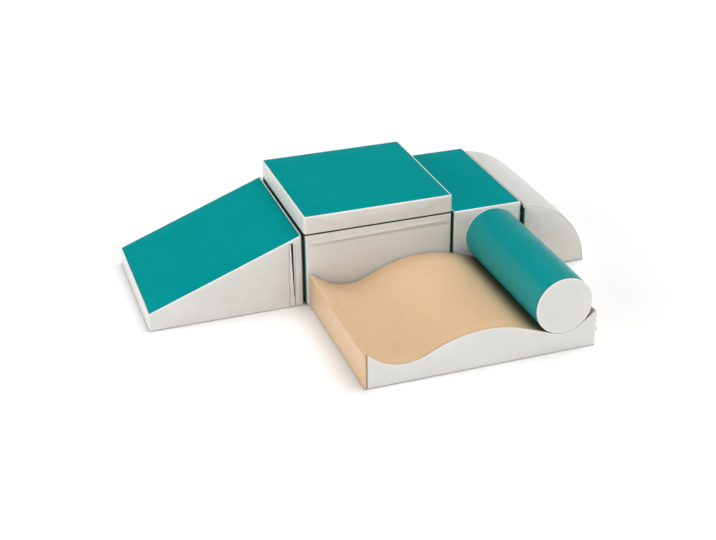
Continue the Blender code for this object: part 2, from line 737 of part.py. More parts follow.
def add_arc():
    """Quarter-round block: a curved panel from the top of the tall wall to the floor."""
    x = BLOCK_WIDTH / 2 + SIDE_GAP + STEP_WIDTH + SIDE_GAP + ARC_WIDTH / 2
    place = add_place("arc_place", (x, -ARC_SET_FORWARD, 0.0))
    outline = arc_outline()
    core_bm = outline_body(outline, BLOCK_DEPTH, EDGE_ROLL, INNER, arc_tag)
    core = add_piece("arc_foam_core", core_bm, FOAM, place)
    walls_bm = outline_body(outline, BLOCK_DEPTH, EDGE_ROLL, 0.0, arc_tag)
    open_panels(walls_bm, (TOP, BOTTOM))
    walls = add_piece("arc_walls", walls_bm, LIGHT_GREY, place)
    thicken(walls, SKIN)
    curved_bm = outline_body(outline, BLOCK_DEPTH, EDGE_ROLL, 0.0, arc_tag)
    keep_panel(curved_bm, TOP)
    thicken(add_piece("arc_curved_panel", curved_bm, PALE_GREY, place), SKIN)
    add_bottom("arc_bottom_panel", ARC_WIDTH, BLOCK_DEPTH, EDGE_BORDER, 0.0, place)
    zip_x = ARC_ZIP_FROM_WALL - ARC_WIDTH / 2
    zip_z = ARC_ZIP_BOTTOM + ARC_ZIP_LENGTH / 2
    zip_line = face_frame((zip_x, BLOCK_DEPTH / 2, zip_z), (0.0, 0.0, 1.0), (0.0, 1.0, 0.0))
    add_zip("arc", zip_line, ARC_ZIP_LENGTH, 1, 0.0, walls, core, ARC_RING_LEAN)
    side_strip("arc_hook_strip", -ARC_WIDTH / 2, -1.0, SIDE_STRIP_HEIGHT, place)


def add_wave():
    """Wave mat: a valley to lie in, a hump and the cradle that the roll rests in."""
    x = -BLOCK_WIDTH / 2 + WAVE_OFFSET + WAVE_WIDTH / 2
    place = add_place("wave_place", (x, WAVE_BACK - WAVE_DEPTH / 2, 0.0))
    outline, cradle = wave_outline()
    core_bm = outline_body(outline, WAVE_DEPTH, WELT_ROLL, INNER, wave_tag)
    core = add_piece("wave_foam_core", core_bm, FOAM, place)
    wrap_bm = outline_body(outline, WAVE_DEPTH, WELT_ROLL, 0.0, wave_tag)
    open_panels(wrap_bm, (FRONT, BACK, BOTTOM))
    wrap = add_piece("wave_wrap", wrap_bm, BEIGE, place)
    thicken(wrap, SKIN)
    for name, tag in (("wave_front_panel", FRONT), ("wave_back_panel", BACK)):
        end_bm = outline_body(outline, WAVE_DEPTH, WELT_ROLL, 0.0, wave_tag)
        keep_panel(end_bm, tag)
        thicken(add_piece(name, end_bm, LIGHT_GREY, place), SKIN)
    add_bottom("wave_bottom_panel", WAVE_WIDTH, WAVE_DEPTH, WELT_BORDER, 0.0, place)
    middle = (WAVE_ZIP_FRONT - WAVE_ZIP_BACK) / 2
    zip_line = face_frame(
        (WAVE_WIDTH / 2, middle, WAVE_ZIP_HEIGHT), (0.0, -1.0, 0.0), (1.0, 0.0, 0.0)
    )
    add_zip("wave", zip_line, WAVE_ZIP_LENGTH, 1, 0.0, wrap, core, RING_OUTWARD)
    hook = face_frame((-x, WAVE_DEPTH / 2, FRONT_STRIP_HEIGHT), (1.0, 0.0, 0.0), (0.0, 1.0, 0.0))
    add_strip("wave_hook_strip", STRIP_LENGTH, STRIP_WIDTH, SIDE_STRIP, STRIP, place, hook)
    facet_sag = CRADLE_RADIUS * (1 - math.cos(TURN_STEP / 2))
    axis_height = cradle.y - (CRADLE_EASE - FIT - facet_sag)
    return Vector((x - WAVE_WIDTH / 2 + cradle.x, WAVE_BACK - ROLL_LENGTH / 2, axis_height))


def turned_piece(name, profile, finish, parent):
    """Add a shape turned about y from points of radius and place along y."""
    bm = bmesh.new()
    verts = [bm.verts.new((radius, along, 0.0)) for radius, along in profile]
    for start, end in zip(verts, verts[1:]):
        bm.edges.new((start, end))
    piece = add_piece(name, bm, finish, parent)
    turn = piece.modifiers.new("turn", "SCREW")
    turn.axis = "Y"
    turn.steps = ROUND_STEPS
    turn.render_steps = ROUND_STEPS
    turn.use_merge_vertices = True
    turn.merge_threshold = WELD
    turn.use_smooth_shade = True
    return piece


def rolled_end(direction, length, radius, roll):
    """Profile points of one rolled end of the tube, from its lip to its outer side."""
    points = [(radius - roll - SEAM_LIP, direction * length / 2)]
    for step in range(ROLL_EDGE_STEPS + 1):
        angle = QUARTER_TURN * step / ROLL_EDGE_STEPS
        along = length / 2 - roll + roll * math.cos(angle)
        points.append((radius - roll + roll * math.sin(angle), direction * along))
    return points


def add_end_disc(name, direction, parent):
    """Add the crowned disc set into one end of the roll's tube."""
    outer = ROLL_RADIUS - EDGE_BORDER - FIT
    face = ROLL_LENGTH / 2
    half = outer / 2
    crown_half = END_CROWN * (1 - (half / outer) ** CROWN_POWER)
    profile = [
        (0.0, direction * (face + END_CROWN)),
        (half, direction * (face + crown_half)),
        (outer, direction * face),
        (outer, direction * (face - SKIN)),
        (half, direction * (face - SKIN + crown_half)),
        (0.0, direction * (face - SKIN + END_CROWN)),
    ]
    if direction < 0.0:
        profile.reverse()
    turned_piece(name, profile, LIGHT_GREY, parent)


def add_roll(axis):
    """Roll: a foam cylinder in a tube cover with two end discs, loose in the wave's cradle."""
    place = add_place("roll_place", axis)
    core_bm = bmesh.new()
    bmesh.ops.create_cone(
        core_bm,
        cap_ends=True,
        segments=ROUND_STEPS,
        radius1=ROLL_RADIUS - INNER,
        radius2=ROLL_RADIUS - INNER,
        depth=ROLL_LENGTH - 2 * INNER,
        matrix=Matrix.Rotation(QUARTER_TURN, 4, "X"),
    )
    rims = [edge for edge in core_bm.edges if edge.calc_face_angle() > SMOOTH_ANGLE]
    round_edges(core_bm, rims, EDGE_ROLL - INNER, ROLL_EDGE_STEPS)
    core = add_piece("roll_foam_core", core_bm, FOAM, place)
    near = rolled_end(-1.0, ROLL_LENGTH, ROLL_RADIUS, EDGE_ROLL)
    far = rolled_end(1.0, ROLL_LENGTH, ROLL_RADIUS, EDGE_ROLL)
    tube = turned_piece("roll_tube_cover", far + near[::-1], TEAL, place)
    thicken(tube, SKIN)
    add_end_disc("roll_end_disc_near", -1.0, place)
    add_end_disc("roll_end_disc_far", 1.0, place)
    zip_line = face_frame((ROLL_RADIUS, 0.0, 0.0), (0.0, 1.0, 0.0), (1.0, 0.0, 0.0))
    add_zip("roll", zip_line, ROLL_ZIP_LENGTH, 1, ZIP_SINK, tube, core)


add_base()
add_pad()
add_ramp()
add_step()
add_arc()
add_roll(add_wave())
bpy.context.view_layer.update()
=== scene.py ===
"""The looks of a soft play foam climber: sewn, foam-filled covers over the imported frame.

Each block is dressed as it is made: panels of coated fabric sewn edge to edge, filled
with foam, with a zip, its tape and its stitching, and hook and loop strips on the faces
that meet. One cloth simulation fills all the covers at once.
"""

import logging
import math
from dataclasses import dataclass, field
from enum import Enum
from typing import Optional, Sequence, Union

import bmesh
import bpy
import numpy as np
from mathutils import Matrix, Vector, noise


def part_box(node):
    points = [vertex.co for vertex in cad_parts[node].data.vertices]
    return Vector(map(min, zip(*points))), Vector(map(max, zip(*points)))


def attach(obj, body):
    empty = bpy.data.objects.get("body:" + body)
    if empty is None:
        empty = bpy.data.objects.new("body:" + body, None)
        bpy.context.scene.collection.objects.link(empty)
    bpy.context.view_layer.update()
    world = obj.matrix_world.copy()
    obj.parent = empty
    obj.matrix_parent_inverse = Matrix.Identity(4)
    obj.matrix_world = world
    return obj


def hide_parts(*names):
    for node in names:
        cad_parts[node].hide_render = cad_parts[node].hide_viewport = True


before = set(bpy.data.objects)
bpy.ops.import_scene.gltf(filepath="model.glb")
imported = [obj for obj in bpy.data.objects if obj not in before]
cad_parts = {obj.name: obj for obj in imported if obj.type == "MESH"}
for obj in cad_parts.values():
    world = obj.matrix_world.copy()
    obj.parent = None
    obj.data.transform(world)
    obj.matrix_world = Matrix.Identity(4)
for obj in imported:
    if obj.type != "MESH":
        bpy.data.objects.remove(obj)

log = logging.getLogger("climber")

Array = np.ndarray
Number = Union[int, float]
Pair = tuple[float, float]
Direction = tuple[int, int, int]
Colour = tuple[float, float, float]

# Sizes of the covers, in metres
SKIN = 0.0012
TOP_ROLL = 0.0055
LOW_ROLL = 0.0035
SEAM_DIP = 0.0022
SEAM_REACH = 0.0014
SEAM_HALF = 0.0004
SEAM_PITCH = 0.0007
# How far the shade painted in the seam valleys reaches
SEAM_SHADE_REACH = 0.0024
UNSEWN = 0.02
# Width and blur of the dark green shade, tinted by the teal's reflection, painted where faces meet a
# neighbour
GAP_SHADE_WIDTH = 0.030
GAP_SHADE_BLUR = 0.001
ZIP_SLOT = 0.012
TAPE_OVERLAP = 0.004
FLAPPED_SINK = 0.004
STITCH_MARGIN = 0.0028
CORE_MARGIN = 0.0045
STILL_SWELL = 0.0008
CORNER = 0.012
GRID_STEP = 0.014
QUIET_FROM = 0.004
QUIET_REACH = 0.045
FLOOR_CLEARANCE = 0.0001
WELD = 0.00002

# Shares, counts and angles
# Darkness of the contact shadow painted along each wall's foot, and the heights it fades over
FOOT_SHADOW = 0.85
FOOT_SHARES = (0.3, 1.1)
END_SHARES = (0.0, 1 / 3, 2 / 3, 1.0, 1.4, 2.0, 2.8)
SIDE_SHARES = (0.64, 0.76)
UPPER = 0.05
COVER_FILL = 0.9
FOAM_FILL = 1.0
ROLL_STEPS = 5
WALL_TURN = 15.0
STRAIGHT = 89.5
STRAIGHT_ON = 0.99
EVEN = 1e-9


class Slot(Enum):
    """The record's material slots."""

    FOAM = "foam"
    TEAL = "teal_cover"
    GREY = "grey_cover"
    PALE = "pale_cover"
    BEIGE = "beige_cover"
    UNDERSIDE = "underside"
    TAPE = "zip_tape"
    STRIP = "hook_and_loop"
    ZIP = "zip_metal"
    RING = "ring_steel"


class Side(Enum):
    """The side of a block that a face looks to, as a direction in plan."""

    LEFT = (-1.0, 0.0)
    RIGHT = (1.0, 0.0)
    FRONT = (0.0, -1.0)
    BACK = (0.0, 1.0)


# Shader maths


class Wire:
    """A value socket that adds Math nodes when it is used in an expression."""

    def __init__(self, recipe: "Recipe", socket: bpy.types.NodeSocket) -> None:
        """Wrap one output socket of a recipe."""
        self.recipe = recipe
        self.socket = socket

    def maths(self, operation: str, *values: Union["Wire", Number]) -> "Wire":
        """Add one Math node.

        Args:
            operation: The Math node's operation.
            values: What goes in, in order.

        Returns:
            The node's value.
        """
        settings = {"operation": operation}
        return self.recipe.add("ShaderNodeMath", settings, dict(enumerate(values)))

    def __add__(self, other: Union["Wire", Number]) -> "Wire":
        """Add a value."""
        return self.maths("ADD", self, other)

    __radd__ = __add__

    def __sub__(self, other: Union["Wire", Number]) -> "Wire":
        """Take a value away."""
        return self.maths("SUBTRACT", self, other)

    def __rsub__(self, other: Union["Wire", Number]) -> "Wire":
        """Take this value away from another."""
        return self.maths("SUBTRACT", other, self)

    def __mul__(self, other: Union["Wire", Number]) -> "Wire":
        """Multiply by a value."""
        return self.maths("MULTIPLY", self, other)

    def __truediv__(self, other: Union["Wire", Number]) -> "Wire":
        """Divide by a value."""
        return self.maths("DIVIDE", self, other)

    def __neg__(self) -> "Wire":
        """Change the sign."""
        return self.maths("MULTIPLY", self, -1.0)

    def exp(self) -> "Wire":
        """Natural exponential."""
        return self.maths("EXPONENT", self)

    def sin(self) -> "Wire":
        """Sine."""
        return self.maths("SINE", self)

    def clamped(self) -> "Wire":
        """Keep within 0 and 1."""
        return self.maths("MINIMUM", self.maths("MAXIMUM", self, 0.0), 1.0)


class Recipe:
    """A node tree, written as expressions."""

    def __init__(self, tree: bpy.types.NodeTree) -> None:
        """Write into one tree."""
        self.tree = tree

    def node(
        self, kind: str, settings: Optional[dict] = None, inputs: Optional[dict] = None
    ) -> bpy.types.Node:
        """Add one node of any kind.

        Args:
            kind: The node's type.
            settings: Attributes of the node, which are set first.
            inputs: Values or wires by the socket's name or number.

        Returns:
            The node.
        """
        node = self.tree.nodes.new(kind)
        for key, value in (settings or {}).items():
            setattr(node, key, value)
        for key, value in (inputs or {}).items():
            self.feed(node.inputs[key], value)
        return node

    def add(
        self,
        kind: str,
        settings: Optional[dict] = None,
        inputs: Optional[dict] = None,
        output: Union[str, int] = 0,
    ) -> Wire:
        """Add one node, and return one of its outputs."""
        return Wire(self, self.node(kind, settings, inputs).outputs[output])

    def axes(self, vector: Wire) -> list[Wire]:
        """The three numbers of a vector."""
        split = self.node("ShaderNodeSeparateXYZ", {}, {0: vector})
        return [Wire(self, output) for output in split.outputs]

    def feed(self, socket: bpy.types.NodeSocket, value: object) -> None:
        """Link a wire to a socket, or set the socket's own value."""
        if isinstance(value, Wire):
            self.tree.links.new(value.socket, socket)
        else:
            socket.default_value = value

    def blend(self, factor: Wire, first: object, second: object, how: str = "MIX") -> Wire:
        """Mix two colours.

        Args:
            factor: How much of the second colour shows, 0 to 1.
            first: A colour of four numbers, or a wire.
            second: A colour of four numbers, or a wire.
            how: The blend type.

        Returns:
            The mixed colour.
        """
        settings = {"data_type": "RGBA", "blend_type": how, "clamp_factor": True}
        inputs = {0: factor, 6: first, 7: second}
        return self.add("ShaderNodeMix", settings, inputs, 2)

    def place(self, scale: Sequence[float] = (1.0, 1.0, 1.0)) -> Wire:
        """The point's place on its own piece, in metres times a scale."""
        spot = self.add("ShaderNodeTexCoord", output="Object")
        if tuple(scale) == (1.0, 1.0, 1.0):
            return spot
        return self.add(
            "ShaderNodeVectorMath", {"operation": "MULTIPLY"}, {0: spot, 1: tuple(scale)}
        )

    def measure(self, name: str) -> Wire:
        """A number that the mesh holds at each point."""
        return self.add("ShaderNodeAttribute", {"attribute_name": name}, output="Fac")

    def cloud(self, size: float, detail: float = 2.0, stretch: Sequence[float] = (1, 1, 1)) -> Wire:
        """Soft noise around 0.5.

        Args:
            size: The size of its blots, in metres.
            detail: How many finer layers it has.
            stretch: Scale of the place along each axis.

        Returns:
            The noise's value.
        """
        inputs = {"Vector": self.place(stretch), "Scale": 1.0 / size, "Detail": detail}
        return self.add("ShaderNodeTexNoise", {}, inputs)

    def cells(self, size: float) -> Wire:
        """Distance from the middle of the nearest of many cells of a size, in cells."""
        inputs = {"Vector": self.place(), "Scale": 1.0 / size}
        return self.add("ShaderNodeTexVoronoi", {"feature": "F1"}, inputs, "Distance")


class Finish(Recipe):
    """A material's node tree, around its Principled shader."""

    def __init__(self, name: str, viewport: Colour) -> None:
        """Start a material.

        Args:
            name: The material's name.
            viewport: The colour that stands for it in a viewport.
        """
        self.material = bpy.data.materials.new(name)
        self.material.use_nodes = True
        self.material.diffuse_color = (*viewport, 1.0)
        super().__init__(self.material.node_tree)
        self.shader = self.tree.nodes["Principled BSDF"]

    def relief(self, height: Wire, depth: float) -> None:
        """Feed the shader's normal from a height of 0 to 1 that stands for a depth in metres."""
        inputs = {"Height": height, "Distance": depth, "Strength": 1.0}
        self.feed(self.shader.inputs["Normal"], self.add("ShaderNodeBump", {}, inputs))

    def set(self, **values: object) -> None:
        """Feed the shader's sockets; a name's underscores stand for spaces."""
        for key, value in values.items():
            self.feed(self.shader.inputs[key.replace("_", " ")], value)


def opaque(colour: Colour, level: float = 1.0) -> tuple[float, float, float, float]:
    """A colour as four numbers, times a level."""
    return (colour[0] * level, colour[1] * level, colour[2] * level, 1.0)


@dataclass(frozen=True)
class CoatedFabric:
    """Smooth coated upholstery fabric, with a fine pressed grain and puckers at its seams."""

    name: str
    colour: Colour
    roughness: float = 0.42
    grain: float = 0.0011
    grain_depth: float = 0.00009
    pucker: float = 0.0062
    pucker_depth: float = 0.00035
    # Colour of all the painted shade: in the seam valleys, at the foot, under the flaps, in creases and
    # beside the roll
    shade_paint: Colour = (0.16, 0.14, 0.12)
    # Colour of the shade painted in the gaps between blocks, tinted by the teal's reflection
    gap_shade: Colour = (0.002, 0.070, 0.056)
    # Painted highlight along the rolled rims beside the seams, with its width and level
    rim_highlight: float = 0.0
    rim_width: float = 0.006
    rim_level: float = 1.35
    patch: float = 0.21
    blot: float = 0.035
    # Size of the real scuffs beside the seams
    scuff_and_shadow: float = 0.012
    coat: float = 0.0
    coat_roughness: float = 0.22
    shade_level: float = 0.95
    gloss: float = 0.36

    def mix(self) -> bpy.types.Material:
        """Make the material."""
        recipe = Finish(self.name, self.colour)
        gap = recipe.measure("seam_gap")
        run = recipe.measure("seam_run")
        near = (gap * (-1.0 / self.rim_width)).exp()
        # How much shade is painted at each point
        edge = recipe.measure("painted_shade_level")
        gap_shade = recipe.measure("gap_shade")
        broad = recipe.cloud(self.patch, 3.0)
        blot = recipe.cloud(self.blot, 4.0)
        pits = recipe.cells(self.grain)
        # Real scuffs, which darken the fabric beside its seams
        scuff_and_shadow = (recipe.cloud(self.scuff_and_shadow, 6.0, (1.0, 0.35, 1.0)) * 6.0 - 3.6).clamped()
        pale = opaque(self.colour, self.rim_level)
        tone = recipe.blend(
            ((broad - 0.5) * 1.8 + (blot - 0.5) * 0.9 + 0.5).clamped(),
            opaque(self.colour, self.shade_level),
            opaque(self.colour, 2.0 - self.shade_level),
        )
        tone = recipe.blend((pits * 0.9 - 0.25).clamped() * 0.10, tone, pale)
        # Painted highlight on the rolled rims
        tone = recipe.blend(near * self.rim_highlight, tone, pale)
        # Painted shade darkens the fabric towards the shade colour
        tone = recipe.blend(edge, tone, opaque(self.shade_paint))
        tone = recipe.blend(near * scuff_and_shadow * 0.20, tone, opaque(self.colour, 0.7))
        # Painted gap shade
        tone = recipe.blend(gap_shade, tone, opaque(self.gap_shade))
        waves = (run * (2.0 * math.pi / self.pucker) + blot * 5.0).sin() * 0.5 + 0.5
        height = pits * (self.grain_depth / self.pucker_depth) + waves * near * 0.8 + blot * 0.5
        recipe.relief(height, self.pucker_depth)
        recipe.set(
            Base_Color=tone,
            Roughness=(
                (blot - 0.5) * 0.16 + pits * 0.05 + edge * 0.2 + gap_shade * 0.3 + self.roughness
            ).clamped(),
            IOR=1.46,
            Specular_IOR_Level=self.gloss,
            Coat_Weight=self.coat,
            Coat_Roughness=self.coat_roughness,
        )
        return recipe.material


@dataclass(frozen=True)
class OpenFoam:
    """Open-cell foam, creamy and porous."""

    name: str
    colour: Colour = (0.78, 0.74, 0.60)
    cell: float = 0.0022
    cell_depth: float = 0.0006
    patch: float = 0.06

    def mix(self) -> bpy.types.Material:
        """Make the material."""
        recipe = Finish(self.name, self.colour)
        pores = recipe.cells(self.cell)
        broad = recipe.cloud(self.patch, 3.0)
        tone = recipe.blend(broad, opaque(self.colour, 0.9), opaque(self.colour, 1.1))
        tone = recipe.blend((0.6 - pores).clamped(), tone, opaque(self.colour, 0.45))
        recipe.relief(pores, self.cell_depth)
        recipe.set(Base_Color=tone, Roughness=0.9 + (broad - 0.5) * 0.1)
        return recipe.material


@dataclass(frozen=True)
class DottedFabric:
    """Dark non-slip fabric with rows of small rubber dots."""

    name: str
    colour: Colour = (0.06, 0.06, 0.062)
    pitch: float = 0.006
    weave: float = 0.0009
    dot_height: float = 0.0007

    def mix(self) -> bpy.types.Material:
        """Make the material."""
        recipe = Finish(self.name, self.colour)
        turn = 2.0 * math.pi / self.pitch
        across, along, _ = recipe.axes(recipe.place())
        dots = ((across * turn).sin() * (along * turn).sin() * 3.0 - 1.2).clamped()
        weave = recipe.cells(self.weave)
        tone = recipe.blend(dots, opaque(self.colour), opaque(self.colour, 0.35))
        tone = recipe.blend(weave * 0.3, tone, opaque(self.colour, 1.8))
        recipe.relief(dots + weave * 0.15, self.dot_height)
        recipe.set(Base_Color=tone, Roughness=0.85 - dots * 0.35)
        return recipe.material


@dataclass(frozen=True)
class WovenTape:
    """Woven zip tape with a moulded coil."""

    name: str
    colour: Colour = (0.02, 0.02, 0.022)
    rib: float = 0.0011
    rib_depth: float = 0.0002
    wear: float = 0.02
    worn: Colour = (0.12, 0.12, 0.12)

    def mix(self) -> bpy.types.Material:
        """Make the material."""
        recipe = Finish(self.name, self.colour)
        ribs = recipe.cells(self.rib)
        wear = recipe.cloud(self.wear, 4.0)
        tone = recipe.blend(ribs * 0.8, opaque(self.colour), opaque(self.colour, 2.6))
        tone = recipe.blend((wear * 4.0 - 2.3).clamped() * 0.25, tone, opaque(self.worn))
        recipe.relief(ribs, self.rib_depth)
        recipe.set(Base_Color=tone, Roughness=0.62 + (wear - 0.5) * 0.2)
        return recipe.material


@dataclass(frozen=True)
class HookPile:
    """Hook and loop strip: a dense dark pile."""

    name: str
    colour: Colour = (0.006, 0.050, 0.042)
    loop: float = 0.0016
    loop_depth: float = 0.0008
    fuzz: float = 0.0018
    lint: Colour = (0.14, 0.14, 0.14)

    def mix(self) -> bpy.types.Material:
        """Make the material."""
        recipe = Finish(self.name, self.colour)
        loops = recipe.cells(self.loop)
        fuzz = recipe.cloud(self.fuzz, 5.0)
        tone = recipe.blend(loops, opaque(self.colour, 2.2), opaque(self.colour, 0.5))
        tone = recipe.blend((fuzz * 3.0 - 1.6).clamped() * 0.4, tone, opaque(self.lint))
        recipe.relief(1.0 - loops, self.loop_depth)
        recipe.set(Base_Color=tone, Roughness=0.92 - loops * 0.1, Sheen_Weight=0.3)
        return recipe.material


@dataclass(frozen=True)
class Thread:
    """Bonded sewing thread, a little glossier than the fabric."""

    name: str
    colour: Colour
    ply: float = 0.0006
    ply_depth: float = 0.0001

    def mix(self) -> bpy.types.Material:
        """Make the material."""
        recipe = Finish(self.name, self.colour)
        twist = recipe.cells(self.ply)
        tone = recipe.blend(twist, opaque(self.colour), opaque(self.colour, 0.7))
        recipe.relief(twist, self.ply_depth)
        recipe.set(Base_Color=tone, Roughness=0.5 + twist * 0.15)
        return recipe.material


@dataclass(frozen=True)
class Metal:
    """Cast or drawn zip metal: lacquered where the lacquer is on, bare where it has rubbed."""

    name: str
    colour: Colour
    bare: Colour = (0.60, 0.58, 0.54)
    metallic: float = 0.15
    roughness: float = 0.3
    rubbed: float = 0.15
    rub: float = 0.0035
    grit: float = 0.0009
    grit_depth: float = 0.00003

    def mix(self) -> bpy.types.Material:
        """Make the material."""
        recipe = Finish(self.name, self.colour)
        grit = recipe.cloud(self.grit, 6.0)
        rub = ((recipe.cloud(self.rub, 5.0) - 0.62 + self.rubbed * 0.3) * 9.0).clamped()
        tone = recipe.blend(rub, opaque(self.colour), opaque(self.bare))
        recipe.relief(grit, self.grit_depth)
        recipe.set(
            Base_Color=tone,
            Metallic=(rub * (1.0 - self.metallic) + self.metallic).clamped(),
            Roughness=(grit * 0.2 + self.roughness - rub * 0.05).clamped(),
        )
        return recipe.material


@dataclass(frozen=True)
class Ground:
    """Plain pale studio floor: white to the camera, less so to the light it throws back."""

    name: str
    lit: float = 0.93
    bounce: float = 0.92

    def mix(self) -> bpy.types.Material:
        """Make the material."""
        recipe = Finish(self.name, (self.lit,) * 3)
        seen = recipe.add("ShaderNodeLightPath", output="Is Camera Ray")
        tone = recipe.blend(seen, opaque((self.bounce,) * 3), opaque((self.lit,) * 3))
        recipe.set(Base_Color=tone, Roughness=0.9, Specular_IOR_Level=0.0)
        return recipe.material


class Wardrobe:
    """All the finishes of the set, each mixed once."""

    def __init__(self) -> None:
        """Mix every finish."""
        teal: Colour = (0.0005, 0.250, 0.252)
        grey: Colour = (0.668, 0.655, 0.627)
        pale: Colour = (0.610, 0.600, 0.575)
        beige: Colour = (0.660, 0.448, 0.258)
        # Colours of the shade painted on each cover
        teal_shade_paint: Colour = (0.002, 0.06, 0.055)
        finishes = {
            Slot.TEAL: CoatedFabric("teal coated fabric", teal, shade_paint=teal_shade_paint, gloss=0.015),
            # The grey cover gets a painted highlight on its rims
            Slot.GREY: CoatedFabric(
                "grey coated fabric", grey, shade_paint=(0.12, 0.115, 0.105), rim_highlight=0.8, coat=0.4
            ),
            Slot.PALE: CoatedFabric("pale coated fabric", pale, shade_paint=(0.24, 0.23, 0.21)),
            Slot.BEIGE: CoatedFabric("beige coated fabric", beige, shade_paint=(0.16, 0.095, 0.050), coat=0.5),
            Slot.FOAM: OpenFoam("open-cell foam"),
            Slot.UNDERSIDE: DottedFabric("dotted non-slip fabric"),
            Slot.TAPE: WovenTape("woven zip tape"),
            Slot.STRIP: HookPile("hook and loop pile"),
            Slot.ZIP: Metal("black lacquered metal", (0.02, 0.02, 0.022)),
            Slot.RING: Metal("black lacquered wire", (0.012, 0.012, 0.013), rubbed=0.08),
        }
        self.materials = {slot: finish.mix() for slot, finish in finishes.items()}
        self.tight_teal = CoatedFabric(
            "teal coated fabric drawn tight", teal, shade_paint=teal_shade_paint, roughness=0.38, gloss=0.28
        ).mix()
        self.threads = {
            Slot.GREY: Thread("grey thread", (0.56, 0.53, 0.49)).mix(),
            Slot.BEIGE: Thread("beige thread", (0.60, 0.41, 0.22)).mix(),
            Slot.TEAL: Thread("teal thread", (0.004, 0.20, 0.20)).mix(),
        }


# Grids and outlines


def graded(length: float, keeps: Sequence[float] = (), step: float = GRID_STEP) -> Array:
    """Places from 0 to a length: close together near both ends and even between.

    Args:
        length: The whole length, in metres.
        keeps: Places that have to be among them.
        step: The even spacing.

    Returns:
        The places, in order.
    """
    ends = [share * CORNER for share in END_SHARES]
    ends = [place for place in ends if place < length / 2 - step / 3]
    inner = length - 2 * ends[-1]
    count = max(1, round(inner / step))
    middle = ends[-1] + inner * np.arange(1, count) / count
    places = [*ends, *middle, *(length - place for place in reversed(ends))]
    clear = 0.0035
    kept = [p for p in places if all(abs(p - k) > clear for k in keeps) or p in (0.0, length)]
    return np.array(sorted([*kept, *keeps]))


def round_plan(x: Array, y: Array, half: Pair, radius: float) -> tuple:
    """Round the corners of a rectangular grid, ring by ring.

    Args:
        x: Each point's x, within the half width.
        y: Each point's y, within the half depth.
        half: Half the width and half the depth.
        radius: The corner radius of the outermost ring.

    Returns:
        The points' new x and y, and the x and y of the direction outwards.
    """
    inset = np.minimum(half[0] - abs(x), half[1] - abs(y))
    ring_x, ring_y = half[0] - inset, half[1] - inset
    turn_radius = np.maximum(radius - inset, 0.0)
    along = np.maximum(ring_x - abs(x), ring_y - abs(y))
    on_x_side = half[0] - abs(x) <= half[1] - abs(y)
    share = np.clip(1.0 - along / np.maximum(turn_radius, EVEN), 0.0, 1.0)
    angle = np.where(on_x_side, share * math.pi / 4, math.pi / 2 - share * math.pi / 4)
    turning = along < turn_radius
    flat_x = np.where(turning, ring_x - turn_radius + turn_radius * np.cos(angle), abs(x))
    flat_y = np.where(turning, ring_y - turn_radius + turn_radius * np.sin(angle), abs(y))
    sign_x, sign_y = np.sign(x), np.sign(y)
    return sign_x * flat_x, sign_y * flat_y, sign_x * np.cos(angle), sign_y * np.sin(angle)


def inset_lines(lines: Array, half: float, radius: float, inset: float) -> Array:
    """Move grid lines so that they meet a rounded outline's columns at an inset."""
    gap = half - abs(lines)
    near = gap < radius
    moved = half - inset - gap * max(radius - inset, 0.0) / radius
    return np.sign(lines) * np.where(near, moved, abs(lines))


def rounded_path(corners: Sequence[tuple[float, float, float]], turn: float = 3.0) -> Array:
    """A path of straight lines whose corners are rounded.

    Args:
        corners: Each corner's two coordinates and radius.
        turn: The angle of one step of a turn, in degrees.

    Returns:
        The path's points.
    """
    points = [Vector(corners[0][:2])]
    for before, corner, after in zip(corners, corners[1:], corners[2:]):
        spot, radius = Vector(corner[:2]), corner[2]
        back = (Vector(before[:2]) - spot).normalized()
        on = (Vector(after[:2]) - spot).normalized()
        half = back.angle(on) / 2
        if radius <= 0.0 or half > math.radians(STRAIGHT):
            points.append(spot)
            continue
        centre = spot + (back + on).normalized() * (radius / math.sin(half))
        start = spot + back * (radius / math.tan(half)) - centre
        sweep = math.pi - 2 * half
        steps = max(2, round(math.degrees(sweep) / turn))
        side = -math.copysign(1.0, back.cross(on))
        for k in range(steps + 1):
            spin = Matrix.Rotation(side * sweep * k / steps, 2)
            points.append(centre + spin @ start)
    points.append(Vector(corners[-1][:2]))
    return np.array([tuple(point) for point in points])


def lengths(points: Array) -> Array:
    """Distance from the start to each point, along a path or down each column of a grid."""
    steps = np.linalg.norm(np.diff(points, axis=0), axis=-1)
    return np.concatenate([np.zeros_like(steps[:1]), np.cumsum(steps, 0)])


